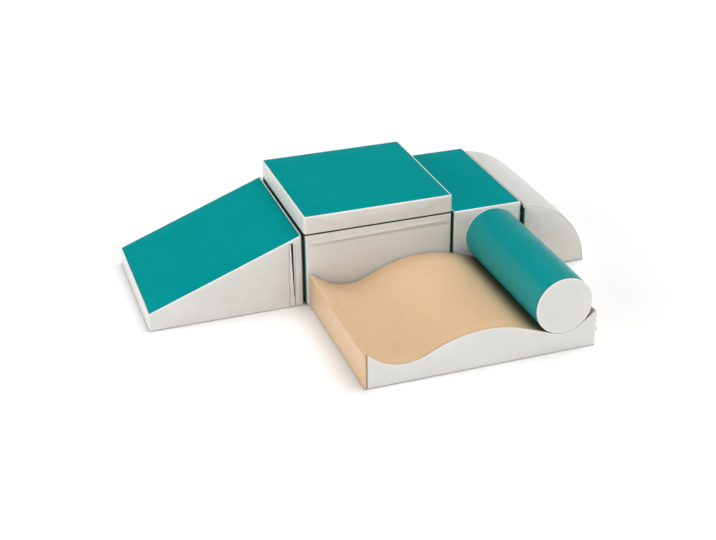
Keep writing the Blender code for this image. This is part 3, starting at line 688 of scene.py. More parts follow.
@dataclass
class Track:
    """A smooth path in a plane, read by the distance along it."""

    points: Array

    def __post_init__(self) -> None:
        """Measure the path."""
        self.run = lengths(self.points)

    @property
    def length(self) -> float:
        """The path's length."""
        return float(self.run[-1])

    def at(self, places: Array) -> tuple[Array, Array]:
        """Points at distances along the path, and the directions to its left there."""
        reach = 0.0004
        spot = self._spot(places)
        before = self._spot(np.clip(places - reach, 0, self.length))
        after = self._spot(np.clip(places + reach, 0, self.length))
        ahead = after - before
        ahead /= np.linalg.norm(ahead, axis=-1, keepdims=True)
        return spot, np.stack([-ahead[..., 1], ahead[..., 0]], -1)

    def _spot(self, places: Array) -> Array:
        """Points at distances along the path."""
        return np.stack([np.interp(places, self.run, self.points[:, k]) for k in (0, 1)], -1)

    def turns(self, keeps: Sequence[float] = ()) -> Array:
        """Places along the path, closer together where it turns sharply."""
        sharp_radius, least_step, clear = 0.02, 0.0012, 0.003
        ahead = np.diff(self.points, axis=0)
        heading = np.unwrap(np.arctan2(ahead[:, 1], ahead[:, 0]))
        middle = (self.run[1:] + self.run[:-1]) / 2
        bend = abs(np.diff(heading)) / np.maximum(np.diff(middle), EVEN)
        wanted: list[float] = []
        for place in self.run[1:-1][bend > 1 / sharp_radius]:
            if not wanted or place - wanted[-1] > least_step:
                wanted.append(place)
        places, ends = graded(self.length, keeps), (0, self.length)
        kept = [p for p in places if all(abs(p - w) > clear for w in wanted) or p in ends]
        return np.array(sorted({*kept, *wanted, *keeps}))


def edge_roll(radius: float, valley: float = SEAM_DIP) -> list[Pair]:
    """Inset and depth of the steps of an edge that rolls over, from the side to the seam."""
    angles = np.linspace(0.0, math.pi / 2, ROLL_STEPS)
    steps = [(radius * (1 - math.cos(a)), radius * (1 - math.sin(a))) for a in angles]
    return [*steps, (radius + SEAM_HALF, valley / 4), (radius + 2 * SEAM_HALF, valley)]


def seam_inset(radius: float) -> float:
    """How far in from the edge the next panel starts, past a rolled edge."""
    return radius + 3 * SEAM_HALF


@dataclass
class Row:
    """One row of a wall's grid: how far in, which share of the height, and an offset."""

    inset: float
    share: float
    offset: float


def wall_rows(height: float, low: float, top: float, keeps: Sequence[float] = ()) -> list[Row]:
    """Rows of a wall that rolls under at its foot and over at its top.

    Args:
        height: The wall's usual height.
        low: Radius of the foot's roll, or 0 where the wall starts at a seam.
        top: Radius of the top's roll, or 0 where the wall ends at a seam.
        keeps: Heights that have to be among the rows.

    Returns:
        The rows, from the foot to the top.
    """
    rows = [Row(i, 0.0, d) for i, d in reversed(edge_roll(low))] if low else [Row(0.0, 0.0, 0.0)]
    straight = height - low - top
    kept = [keep - low for keep in keeps]
    for place in graded(straight, kept)[1:-1]:
        share = place / straight
        rows.append(Row(0.0, share, low * (1 - share) - top * share))
    rows += [Row(i, 1.0, -d) for i, d in edge_roll(top)] if top else [Row(0.0, 1.0, 0.0)]
    return rows


# Sewn panels


@dataclass
class Panel:
    """One cut of fabric as a grid of points on its outer face."""

    name: str
    slot: Slot
    grid: Array
    gap: Array
    run: Array
    slack: Array
    ring: bool = False
    flip: bool = False
    holes: list[tuple[int, int, int, int]] = field(default_factory=list)
    lid: Optional["Panel"] = None
    skin: float = SKIN
    # How strongly shade is painted in the seam valleys
    shade_paint: float = 0.0
    # Painted shade of other kinds: contact shadow at the foot, shadow under flaps, shade in creases, the
    # roll's shadow
    painted_shade: Optional[Array] = None
    gap_shade: Optional[Array] = None
    tight: bool = False

    def marks(self) -> dict[str, Array]:
        """What the fabric's finish has to know at each point."""
        # Painted shade in the seam valleys, joined with the panel's other painted shade
        shade_paint = self.shade_paint * np.exp(-self.gap / SEAM_SHADE_REACH)
        if self.painted_shade is not None:
            shade_paint = np.maximum(shade_paint, self.painted_shade)
        gap_shade = 0.0 * self.gap if self.gap_shade is None else self.gap_shade
        return {"seam_gap": self.gap, "seam_run": self.run, "painted_shade_level": shade_paint, "gap_shade": gap_shade}

    @property
    def count(self) -> int:
        """How many points the grid has."""
        return self.grid.shape[0] * self.grid.shape[1]

    def normals(self) -> Array:
        """Unit directions outwards at each point of the grid."""
        if self.ring:
            wide = np.concatenate([self.grid[:, -1:], self.grid, self.grid[:, :1]], 1)
            across = np.gradient(wide, axis=1)[:, 1:-1]
        else:
            across = np.gradient(self.grid, axis=1)
        down = np.gradient(self.grid, axis=0)
        out = np.cross(across, down)
        out /= np.maximum(np.linalg.norm(out, axis=-1, keepdims=True), EVEN)
        return -out if self.flip else out

    def faces(self, start: int = 0) -> list[tuple[int, ...]]:
        """The grid's faces, facing outwards, numbered from a start."""
        rows, cols = self.grid.shape[:2]
        open_cells = set()
        for row_a, row_b, col_a, col_b in self.holes:
            open_cells |= {(r, c) for r in range(row_a, row_b) for c in range(col_a, col_b)}
        found = []
        for r in range(rows - 1):
            for c in range(cols if self.ring else cols - 1):
                if (r, c) in open_cells:
                    continue
                d = (c + 1) % cols
                face = (r * cols + c, r * cols + d, (r + 1) * cols + d, (r + 1) * cols + c)
                face = tuple(start + k for k in face)
                found.append(face[::-1] if self.flip else face)
        return found


def limit(length: Array, most: Array) -> Array:
    """Bring lengths softly under a limit at each point."""
    return most * np.tanh(length / np.maximum(most, EVEN))


def smooth(value: Array, low: float, high: float) -> Array:
    """0 below a low value, 1 above a high one, and an S between."""
    share = np.clip((value - low) / (high - low), 0.0, 1.0)
    return share * share * (3.0 - 2.0 * share)


def quiet(grid: Array, nodes: Sequence[str]) -> Array:
    """1 away from the CAD nodes that lie on a cover, and 0 beside them."""
    calm = np.ones(grid.shape[:2])
    for node in nodes:
        low, high = (np.array(corner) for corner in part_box(node))
        away = np.maximum(np.maximum(low - grid, grid - high), 0.0)
        distance = np.linalg.norm(away, axis=-1)
        calm = np.minimum(calm, smooth(distance, QUIET_FROM, QUIET_REACH))
    return calm


def rough(grid: Array, scale: float) -> Array:
    """Noise between -1 and 1 at each point of a grid, by its place times a scale."""
    values = [noise.noise(Vector(point) * scale) for point in grid.reshape(-1, 3)]
    return np.array(values).reshape(grid.shape[:2])


def add_object(name: str, data: bpy.types.ID) -> bpy.types.Object:
    """Put new data into the scene as an object."""
    thing = bpy.data.objects.new(name, data)
    bpy.context.scene.collection.objects.link(thing)
    return thing


def as_mesh(shape: bmesh.types.BMesh, name: str) -> bpy.types.Mesh:
    """Turn a shape into a mesh, and free it."""
    mesh = bpy.data.meshes.new(name)
    shape.to_mesh(mesh)
    shape.free()
    return mesh


@dataclass
class SewingRoom:
    """Fills all the covers at once: a cloth simulation with foam pressing outwards."""

    frames: int = 20
    quality: int = 5
    mass: float = 0.2
    slackness: float = 0.004
    pressure: float = 30.0
    tension: float = 12.0
    bending: float = 4.0
    ripple: float = 0.00045
    ripple_scale: float = 27.0
    ripple_reach: float = 0.030
    ripple_least: float = 0.25
    ripple_gain: float = 2.0
    seam_rest: float = 0.006
    swell: float = 0.0009
    swell_scale: float = 6.5
    loose_from: float = 0.0025
    quick_reach: float = 0.06

    def fill(self, panels: Sequence[Panel]) -> None:
        """Press every panel outwards between its seams, and let it wrinkle a little.

        Args:
            panels: All the panels, which are changed in place.
        """
        starts = np.concatenate([[0], np.cumsum([p.count for p in panels])]).astype(int)
        rest = np.concatenate([p.grid.reshape(-1, 3) for p in panels])
        moved = self._press(panels, starts, rest)
        for panel, start, end in zip(panels, starts, starts[1:]):
            shape = panel.grid.shape
            out = panel.normals()
            push = (moved[start:end] - rest[start:end]).reshape(shape)
            size = np.linalg.norm(push, axis=-1)
            scale = limit(size, panel.slack) / np.maximum(size, EVEN)
            push = push * scale[..., None]
            loose = np.clip(panel.slack / self.loose_from, 0.0, 1.0)
            relief = self._relief(panel) * loose
            panel.grid = panel.grid + push + out * relief[..., None]

    def _press(self, panels: Sequence[Panel], starts: Array, rest: Array) -> Array:
        """Run the simulation and return every point's place."""
        faces = [face for p, s in zip(panels, starts) for face in p.faces(int(s))]
        mesh = bpy.data.meshes.new("filling")
        mesh.from_pydata(rest.tolist(), [], faces)
        cover = add_object("filling", mesh)
        held = cover.vertex_groups.new(name="held")
        gaps = np.concatenate([p.gap.reshape(-1) for p in panels])
        held.add([int(k) for k in np.flatnonzero(gaps < SEAM_HALF)], 1.0, "REPLACE")
        cloth = cover.modifiers.new("filling", "CLOTH")
        settings = cloth.settings
        settings.quality = self.quality
        settings.mass = self.mass
        settings.tension_stiffness = self.tension
        settings.compression_stiffness = self.tension
        settings.shear_stiffness = self.tension / 2
        settings.bending_stiffness = self.bending
        settings.use_pressure = True
        settings.uniform_pressure_force = self.pressure
        settings.effector_weights.gravity = 0.0
        settings.vertex_group_mass = "held"
        settings.shrink_min = -self.slackness
        cloth.point_cache.frame_start = 1
        cloth.point_cache.frame_end = self.frames
        scene = bpy.context.scene
        for number in range(1, self.frames + 1):
            scene.frame_set(number)
        graph = bpy.context.evaluated_depsgraph_get()
        settled = cover.evaluated_get(graph).to_mesh()
        places = np.empty(len(settled.vertices) * 3, np.float32)
        settled.vertices.foreach_get("co", places)
        bpy.data.objects.remove(cover)
        scene.frame_set(1)
        return places.reshape(-1, 3).astype(float)

    def _relief(self, panel: Panel) -> Array:
        """Slow undulations of the fabric, and short tension ripples beside the seams."""
        slow, quick = rough(panel.grid, self.swell_scale), rough(panel.grid, self.ripple_scale)
        beside = np.exp(-panel.gap / self.ripple_reach) * smooth(panel.gap, 0.0, self.seam_rest)
        share = self.ripple_least + self.ripple_gain * beside
        return slow * self.swell + quick * self.ripple * share


class Workroom:
    """Makes the pieces of the scene from meshes and hangs them on the frame."""

    def __init__(self, wardrobe: Wardrobe) -> None:
        """Keep the finishes at hand."""
        self.wardrobe = wardrobe

    def piece(
        self,
        name: str,
        mesh: bpy.types.Mesh,
        body: str,
        slot: Slot,
        nodes: Sequence[str] = (),
        fill: Optional[float] = None,
        material: Optional[bpy.types.Material] = None,
    ) -> bpy.types.Object:
        """Add a piece of the climber.

        Args:
            name: The piece's name.
            mesh: Its mesh, in place.
            body: The body that carries it.
            slot: The record's slot that it takes its finish from.
            nodes: The CAD nodes that it stands for.
            fill: How tightly it is padded, where it is; not used.
            material: Its material, where that isn't the slot's own.

        Returns:
            The new object.
        """
        thing = add_object(name, mesh)
        mesh.materials.clear()
        mesh.materials.append(material or self.wardrobe.materials[slot])
        mesh.shade_smooth()
        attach(thing, body)
        if nodes:
            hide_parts(*nodes)
        log.info("%s: %d faces, on %s", name, len(mesh.polygons), body)
        return thing

    def sew(
        self,
        panel: Panel,
        body: str,
        nodes: Sequence[str] = (),
        fill: Optional[float] = None,
    ) -> bpy.types.Object:
        """Turn a filled panel into fabric with a thickness.

        Args:
            panel: The panel, after the sewing room.
            body: The body that carries it.
            nodes: The CAD nodes that it stands for.
            fill: How tightly it is padded, where it is.

        Returns:
            The new object.
        """
        parts = [panel] + ([panel.lid] if panel.lid else [])
        points: list[list[float]] = []
        faces: list[tuple[int, ...]] = []
        for part in parts:
            faces += part.faces(len(points))
            points += part.grid.reshape(-1, 3).tolist()
        mesh = bpy.data.meshes.new(panel.name)
        mesh.from_pydata(points, [], faces)
        for key in panel.marks():
            values = np.concatenate([part.marks()[key].reshape(-1) for part in parts])
            mesh.attributes.new(key, "FLOAT", "POINT").data.foreach_set("value", values)
        shape = bmesh.new()
        shape.from_mesh(mesh)
        bmesh.ops.remove_doubles(shape, verts=shape.verts, dist=WELD)
        loose = [vert for vert in shape.verts if not vert.link_faces]
        bmesh.ops.delete(shape, geom=loose, context="VERTS")
        shape.to_mesh(mesh)
        shape.free()
        material = self.wardrobe.tight_teal if panel.tight else None
        thing = self.piece(panel.name, mesh, body, panel.slot, nodes, fill, material)
        shell = thing.modifiers.new("thickness", "SOLIDIFY")
        shell.thickness = panel.skin
        shell.offset = -1.0
        return thing


def dip(gap: Array, valley: float = SEAM_DIP) -> Array:
    """Depth of the valley where a panel's edge turns into its seam."""
    return valley * np.exp(-((gap / SEAM_REACH) ** 2))


def painted_foot_shadow(height: Array) -> Array:
    """Painted contact shadow: how dark a wall is where it touches the floor, by the height above it."""
    return FOOT_SHADOW * (1.0 - smooth(height / LOW_ROLL, *FOOT_SHARES))


def border(distance: Array) -> Array:
    """1 within the width of the painted gap shade from an edge, and 0 further in."""
    return 1.0 - smooth(distance, GAP_SHADE_WIDTH - GAP_SHADE_BLUR, GAP_SHADE_WIDTH)


def plan_of(low: Vector, high: Vector) -> tuple[Pair, Pair]:
    """The middle of a box in plan, and half its width and depth."""
    return ((low.x + high.x) / 2, (low.y + high.y) / 2), ((high.x - low.x) / 2, (high.y - low.y) / 2)


def looks_to(out: Array, side: Side) -> Array:
    """1 where an outline looks to a side, and 0 past its corners."""
    return smooth(out @ np.array(side.value), *SIDE_SHARES)


def seam_steps(start: float, count: int) -> list[Pair]:
    """Distance and depth of the rows beside a seam that lies at a distance from the end."""
    steps = SEAM_PITCH * np.arange(count)
    return [(start + step, depth) for step, depth in zip(steps, dip(steps))]


def between(values: Array, ends: Sequence[float]) -> list[int]:
    """Which of some values lie between two ends, ends included."""
    return [k for k, value in enumerate(values) if ends[0] - EVEN <= value <= ends[1] + EVEN]


def nearest(values: Array, ends: Sequence[float]) -> list[int]:
    """Which of some values lie nearest to each of two ends."""
    return [int(np.argmin(abs(values - end))) for end in ends]


def loose_strip(name: str, grid: Array, run: Array, painted_shade: Array) -> Panel:
    """A strip of the grey fabric that isn't filled, with no seam for its finish to mark."""
    gap = np.full(painted_shade.shape, UNSEWN)
    return Panel(name, Slot.GREY, grid, gap, np.broadcast_to(run, gap.shape), 0.0 * gap, painted_shade=painted_shade)


def edge_gap(lines_x: Array, lines_y: Array) -> Array:
    """Distance of each point of a rectangular grid from its nearest side."""
    from_x = np.minimum(lines_x - lines_x[0], lines_x[-1] - lines_x)
    from_y = np.minimum(lines_y - lines_y[0], lines_y[-1] - lines_y)
    return np.minimum(from_x[None, :], from_y[:, None])


@dataclass
class StraightBlock:
    """A block with four upright walls, and a top that is flat or slopes along X."""

    name: str
    centre: Pair
    half: Pair
    floor: float
    left_top: float
    right_top: float
    top_slot: Slot
    top_roll: float = TOP_ROLL
    low_roll: float = LOW_ROLL
    keeps_x: Sequence[float] = ()
    keeps_y: Sequence[float] = ()
    keeps_z: Sequence[float] = ()
    swell: dict[Side, float] = field(default_factory=dict)
    top_swell: float = 0.0045
    still: Sequence[str] = ()
    # Sides that get painted gap shade, and where it lies on the rolled top and beside the seam
    gap_shaded_sides: Sequence[Side] = ()
    gap_shaded_top: bool = False
    gap_shade_depth: float = 0.0024
    gap_shade_blur: float = 0.0008
    gap_shade_seam: Pair = (0.004, 0.006)
    seam_reach: Pair = (0.001, 0.045)
    corner_reach: float = 0.05
    corner_turn: float = 0.72
    corner_share: float = 0.12
    cap_reach: float = 0.07
    least_corner: float = 0.0005

    def __post_init__(self) -> None:
        """Lay the grid lines that the walls and the top share."""
        keeps_x = [keep - self.centre[0] + self.half[0] for keep in self.keeps_x]
        keeps_y = [keep - self.centre[1] + self.half[1] for keep in self.keeps_y]
        self.lines_x = graded(2 * self.half[0], keeps_x) - self.half[0]
        self.lines_y = graded(2 * self.half[1], keeps_y) - self.half[1]
        height = max(self.left_top, self.right_top) - self.floor
        keeps_z = [keep - self.floor for keep in self.keeps_z]
        self.rows = wall_rows(height, self.low_roll, self.top_roll, keeps_z)

    def top_at(self, x: Array) -> Array:
        """Height of the top at an x from the block's middle."""
        share = (x + self.half[0]) / (2 * self.half[0])
        return self.left_top + (self.right_top - self.left_top) * share

    def outline(self) -> tuple[Array, Array]:
        """The walls' outline in plan, anticlockwise from the front left, and its normals."""
        x, y = self.lines_x, self.lines_y
        front = [(a, y[0]) for a in x[:-1]]
        right = [(x[-1], b) for b in y[:-1]]
        back = [(a, y[-1]) for a in x[:0:-1]]
        left = [(x[0], b) for b in y[:0:-1]]
        loop = np.array(front + right + back + left)
        plan_x, plan_y, out_x, out_y = round_plan(loop[:, 0], loop[:, 1], self.half, CORNER)
        return np.stack([plan_x, plan_y], -1), np.stack([out_x, out_y], -1)

    def band(self) -> Panel:
        """The wall's fabric, all round."""
        spots, out = self.outline()
        grid = np.zeros((len(self.rows), len(spots), 3))
        for k, row in enumerate(self.rows):
            plan = spots - out * row.inset
            top = self.top_at(plan[:, 0])
            height = self.floor + row.share * (top - self.floor) + row.offset
            grid[k] = np.concatenate([plan + self.centre, height[:, None]], -1)
        along = lengths(grid)
        gap = np.minimum(along, along[-1] - along)
        loop = np.concatenate([spots, spots[:1]])
        run = np.broadcast_to(lengths(loop)[:-1], gap.shape)
        room = np.zeros(len(spots))
        for side, most in self.swell.items():
            facing = np.clip(out @ np.array(side.value), 0.0, 1.0)
            room += facing**2 * most
        flat = smooth(np.max(abs(out), -1), self.corner_turn, 1.0)
        corner_gap = np.maximum(self.half[0] - abs(spots[:, 0]), self.half[1] - abs(spots[:, 1]))
        free = flat * smooth(corner_gap, 0.0, self.corner_reach)
        room = room * (self.corner_share + (1.0 - self.corner_share) * free)
        slack = room[None, :] * smooth(gap, *self.seam_reach) * quiet(grid, self.still)
        panel = Panel(self.name + "_band", Slot.GREY, grid, gap, run, slack, ring=True)
        panel.painted_shade = painted_foot_shadow(grid[..., 2])
        # Painted gap shade on the faces that meet a neighbour, and on the rolled top
        to_seam = along[-1] - along
        panel.gap_shade = self._gap_shading(spots, out, gap) * smooth(to_seam, *self.gap_shade_seam)
        if self.gap_shaded_top:
            rolled = smooth(grid[..., 2] - (self.left_top - self.gap_shade_depth), 0.0, self.gap_shade_blur)
            panel.gap_shade = np.maximum(panel.gap_shade, rolled)
        return panel

    def _gap_shading(self, spots: Array, out: Array, gap: Array) -> Array:
        """Where shade is painted on the walls, tinted by the teal's reflection: round the faces that meet
        a neighbour.
        """
        gap_shade = np.zeros(gap.shape)
        for side in self.gap_shaded_sides:
            facing = looks_to(out, side)
            end = self.half[1] - abs(spots[:, 1])
            gap_shade = np.maximum(gap_shade, facing[None, :] * border(np.minimum(gap, end[None, :])))
        return gap_shade

    def cap(self, name: str, slot: Slot, inset: float, upwards: bool, swell: float) -> Panel:
        """A panel that closes the top or the underside.

        Args:
            name: The panel's name.
            slot: Its finish.
            inset: How far in from the walls it starts.
            upwards: True for the top, False for the underside.
            swell: How far it may swell.

        Returns:
            The panel.
        """
        half = (self.half[0] - inset, self.half[1] - inset)
        radius = max(CORNER - inset, self.least_corner)
        x = inset_lines(self.lines_x, self.half[0], CORNER, inset)
        y = inset_lines(self.lines_y, self.half[1], CORNER, inset)
        flat_x, flat_y = np.meshgrid(x, y)
        gap = edge_gap(x, y)
        plan_x, plan_y, _, _ = round_plan(flat_x, flat_y, half, radius)
        height = self.top_at(plan_x) - dip(gap) if upwards else self.floor + 0 * plan_x
        grid = np.stack([plan_x + self.centre[0], plan_y + self.centre[1], height], -1)
        run = np.where(half[0] - abs(flat_x) < half[1] - abs(flat_y), flat_y, flat_x)
        slack = swell * smooth(gap, 0.0, self.cap_reach) * quiet(grid, self.still)
        return Panel(name, slot, grid, gap, run, slack, flip=not upwards)

    def top(self) -> Panel:
        """The top's fabric."""
        inset = seam_inset(self.top_roll)
        return self.cap(self.name + "_top", self.top_slot, inset, True, self.top_swell)

    def underside(self) -> Panel:
        """The non-slip fabric underneath."""
        inset = seam_inset(self.low_roll)
        panel = self.cap(self.name + "_bottom", Slot.UNDERSIDE, inset, False, 0.0)
        panel.grid[..., 2] += dip(panel.gap) + FLOOR_CLEARANCE
        return panel

    def cut(self, panel: Panel, side: Side, along: Sequence[float], up: Sequence[float]) -> None:
        """Open a zip's slot in the walls.

        Args:
            panel: The walls' panel.
            side: The wall that the slot is in.
            along: Where the slot starts and ends along the wall.
            up: The slot's lowest and highest heights.
        """
        spots, out = self.outline()
        axis = 0 if side in (Side.FRONT, Side.BACK) else 1
        places = spots[:, axis] + self.centre[axis]
        facing = out @ np.array(side.value) > STRAIGHT_ON
        cols = [c for c in between(places, along) if facing[c]]
        column = min(cols, key=lambda c: abs(places[c] - sum(along) / 2))
        rows = nearest(panel.grid[:, column, 2], up)
        panel.holes.append((*rows, min(cols), max(cols)))

    def core(self) -> tuple[list[Pair], float, float]:
        """The foam's outline from the front, and the block's front and back."""
        left = self.centre[0] - self.half[0] + CORE_MARGIN
        right = self.centre[0] + self.half[0] - CORE_MARGIN
        foot = self.floor + CORE_MARGIN
        tops = [(left, self.left_top - CORE_MARGIN), (right, self.right_top - CORE_MARGIN)]
        outline = [(left, foot), *tops, (right, foot)]
        return outline, self.centre[1] - self.half[1], self.centre[1] + self.half[1]


@dataclass
class SectionBlock:
    """A block drawn along Y from one section: a wrap over its length, and walls at its ends."""

    name: str
    left: float
    front: float
    depth: float
    section: Track
    wrap_slot: Slot
    wall_slot: Slot
    roll: float = TOP_ROLL
    low_roll: float = LOW_ROLL
    over: float = 0.0
    over_from: float = 0.008
    valley: float = SEAM_DIP
    keeps_run: Sequence[float] = ()
    keeps_y: Sequence[float] = ()
    swell: float = 0.004
    wall_swell: float = 0.003
    still: Sequence[str] = ()
    wrap_reach: float = 0.06
    wall_reach: float = 0.05
    foot_reach: Pair = (0.004, 0.05)
    over_blur: float = 0.003
    seam_rows: Pair = (0.0026, 0.0012)
    upright_share: float = 0.3
    level_from: float = 0.5
    squeeze_from: float = 4.0
    core_end: float = 0.012
    core_inset: float = 0.0048

    @property
    def back(self) -> float:
        """Where the block ends at the back."""
        return self.front + self.depth

    def __post_init__(self) -> None:
        """Find the line along which the wrap meets the walls."""
        spot, out = self.section.at(self.section.run)
        seam = spot if self.over else spot - out * seam_inset(self.roll)
        upper = out[:, 1] > UPPER
        order = np.argsort(seam[upper, 0])
        self.seam_x = seam[upper, 0][order]
        self.seam_z = seam[upper, 1][order]

    def rows(self, over: bool) -> Array:
        """Distance from the front, and depth, of the wrap's rows from front to back.

        Args:
            over: True where the wall rolls over the edge, False where the wrap does.

        Returns:
            One pair of numbers for each row.
        """
        roll = [(depth, inset) for inset, depth in reversed(edge_roll(self.roll, self.valley))]
        if over:
            roll = seam_steps(seam_inset(self.over), len(roll))
        keeps = [keep - self.front - self.roll for keep in self.keeps_y]
        middle = graded(self.depth - 2 * self.roll, keeps)[1:-1] + self.roll
        back = [(self.depth - y, depth) for y, depth in reversed(roll)]
        return np.array(roll + [(float(y), 0.0) for y in middle] + back)

    def wrap(self, name: str) -> Panel:
        """The fabric over the section."""
        places = self.section.turns(self.keeps_run)
        spot, out = self.section.at(places)
        under = smooth(spot[:, 0], self.over_from - self.over_blur, self.over_from) * bool(self.over)
        first, second = self.rows(False), self.rows(True)
        rows = first[:, None] + (second - first)[:, None] * under[None, :, None]
        flat = spot[None] - out[None] * rows[..., 1:]
        grid = np.stack([flat[..., 0] + self.left, rows[..., 0] + self.front, flat[..., 1]], -1)
        along = lengths(grid)
        to_end = np.minimum(places, self.section.length - places)[None, :]
        gap = np.minimum(np.minimum(along, along[-1] - along), to_end)
        run = np.broadcast_to(places, gap.shape)
        slack = self.swell * smooth(gap, 0.0, self.wrap_reach) * self.wall_calm(out)[None, :]
        slack = slack * quiet(grid, self.still)
        return Panel(name, self.wrap_slot, grid, gap, run, slack, painted_shade=painted_foot_shadow(grid[..., 2]))

    def wall_calm(self, out: Array) -> Array:
        """How freely the wrap may swell, by the direction that it looks to."""
        return self.upright_share + (1.0 - self.upright_share) * smooth(out[:, 1], 0.0, self.level_from)

    def seam_height(self, x: Array) -> Array:
        """Height of the seam on an end wall at an x from the block's left."""
        return np.interp(x, self.seam_x, self.seam_z)

    def wall(self, name: str, plan: Track, places: Array, sewn_ends: bool) -> Panel:
        """A wall that stands on a path in plan.

        Args:
            name: The panel's name.
            plan: The path, with the outside to its left.
            places: The columns' places along it.
            sewn_ends: True where the first and last columns are seams.

        Returns:
            The panel.
        """
        spot, out = plan.at(places)
        top = self.seam_height(spot[:, 0] - self.left)
        height = float(np.max(top))
        keeps = [] if self.over else [height - depth for depth in self.seam_rows]
        rows = wall_rows(height, self.low_roll, self.over, keeps)
        squeeze = np.clip(top / (self.squeeze_from * self.low_roll), 0.0, 1.0)
        grid = np.zeros((len(rows), len(places), 3))
        for k, row in enumerate(rows):
            flat = spot - out * (row.inset * squeeze)[:, None]
            grid[k, :, :2] = flat
            grid[k, :, 2] = row.share * top + row.offset * squeeze
        along = lengths(grid)
        to_top = along[-1] - along
        to_end = np.minimum(places, plan.length - places)[None, :]
        gap = np.minimum(to_top, to_end) if sewn_ends else to_top
        to_seam = to_end + 0.0 * gap if self.over else gap
        grid[..., :2] -= out[None] * dip(to_seam, self.valley)[..., None]
        run = np.broadcast_to(places, gap.shape)
        free = smooth(np.minimum(gap, to_end), 0.0, self.wall_reach) * smooth(along, *self.foot_reach)
        slack = self.wall_swell * free * quiet(grid, self.still)
        return Panel(name, self.wall_slot, grid, gap, run, slack, painted_shade=painted_foot_shadow(grid[..., 2]))

    def underside(self) -> Panel:
        """The non-slip fabric underneath."""
        half = (float(self.section.points[:, 0].max()) / 2, self.depth / 2)
        centre = (self.left + half[0], self.front + half[1])
        top = float(self.seam_z.max())
        return StraightBlock(self.name, centre, half, 0.0, top, top, Slot.UNDERSIDE).underside()

    def core(self, count: int) -> list[Pair]:
        """The foam's outline from the front, in a number of points inside the wrap."""
        places = np.linspace(self.core_end, self.section.length - self.core_end, count)
        spot, out = self.section.at(places)
        return [(self.left + x, z) for x, z in spot - out * self.core_inset]


def face_away(panel: Panel, centre: Sequence[float]) -> Panel:
    """Turn a panel's faces away from the middle of its block."""
    panel.flip = False
    away = panel.grid - np.array(centre)
    panel.flip = bool(np.sum(panel.normals() * away) < 0.0)
    return panel


@dataclass
class ZipLine:
    """Where a zip lies: the middle of its slot on the cover, and its directions."""

    middle: Vector
    along: Vector
    out: Vector
    length: float
    sink: float = 0.0

    def frame(self) -> Matrix:
        """The zip's own axes: X along it, Y across, Z outwards."""
        across = self.out.cross(self.along)
        turn = Matrix((self.along, across, self.out)).transposed().to_4x4()
        return Matrix.Translation(self.middle) @ turn


def zip_line(
    tape: str, along: Direction, out: Direction, face: float, sink: float = 0.0
) -> tuple[ZipLine, Pair, Pair]:
    """Lay a zip on a cover, over the CAD node of its tape.

    Args:
        tape: The tape's node.
        along: The direction along the zip.
        out: The direction out of the cover.
        face: Where the cover's face lies on the axis that looks out.
        sink: How far the zip lies under the face.

    Returns:
        The zip's line, where its slot ends, and where the slot's long sides are.
    """
    low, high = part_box(tape)
    middle = [(first + last) / 2 for first, last in zip(low, high)]
    run = next(k for k in range(3) if along[k])
    level = next(k for k in range(3) if out[k])
    side = 3 - run - level
    ends = (low[run] + TAPE_OVERLAP, high[run] - TAPE_OVERLAP)
    sides = (middle[side] - ZIP_SLOT / 2, middle[side] + ZIP_SLOT / 2)
    middle[level] = face
    line = ZipLine(Vector(middle), Vector(along), Vector(out), ends[1] - ends[0], sink)
    return line, ends, sides


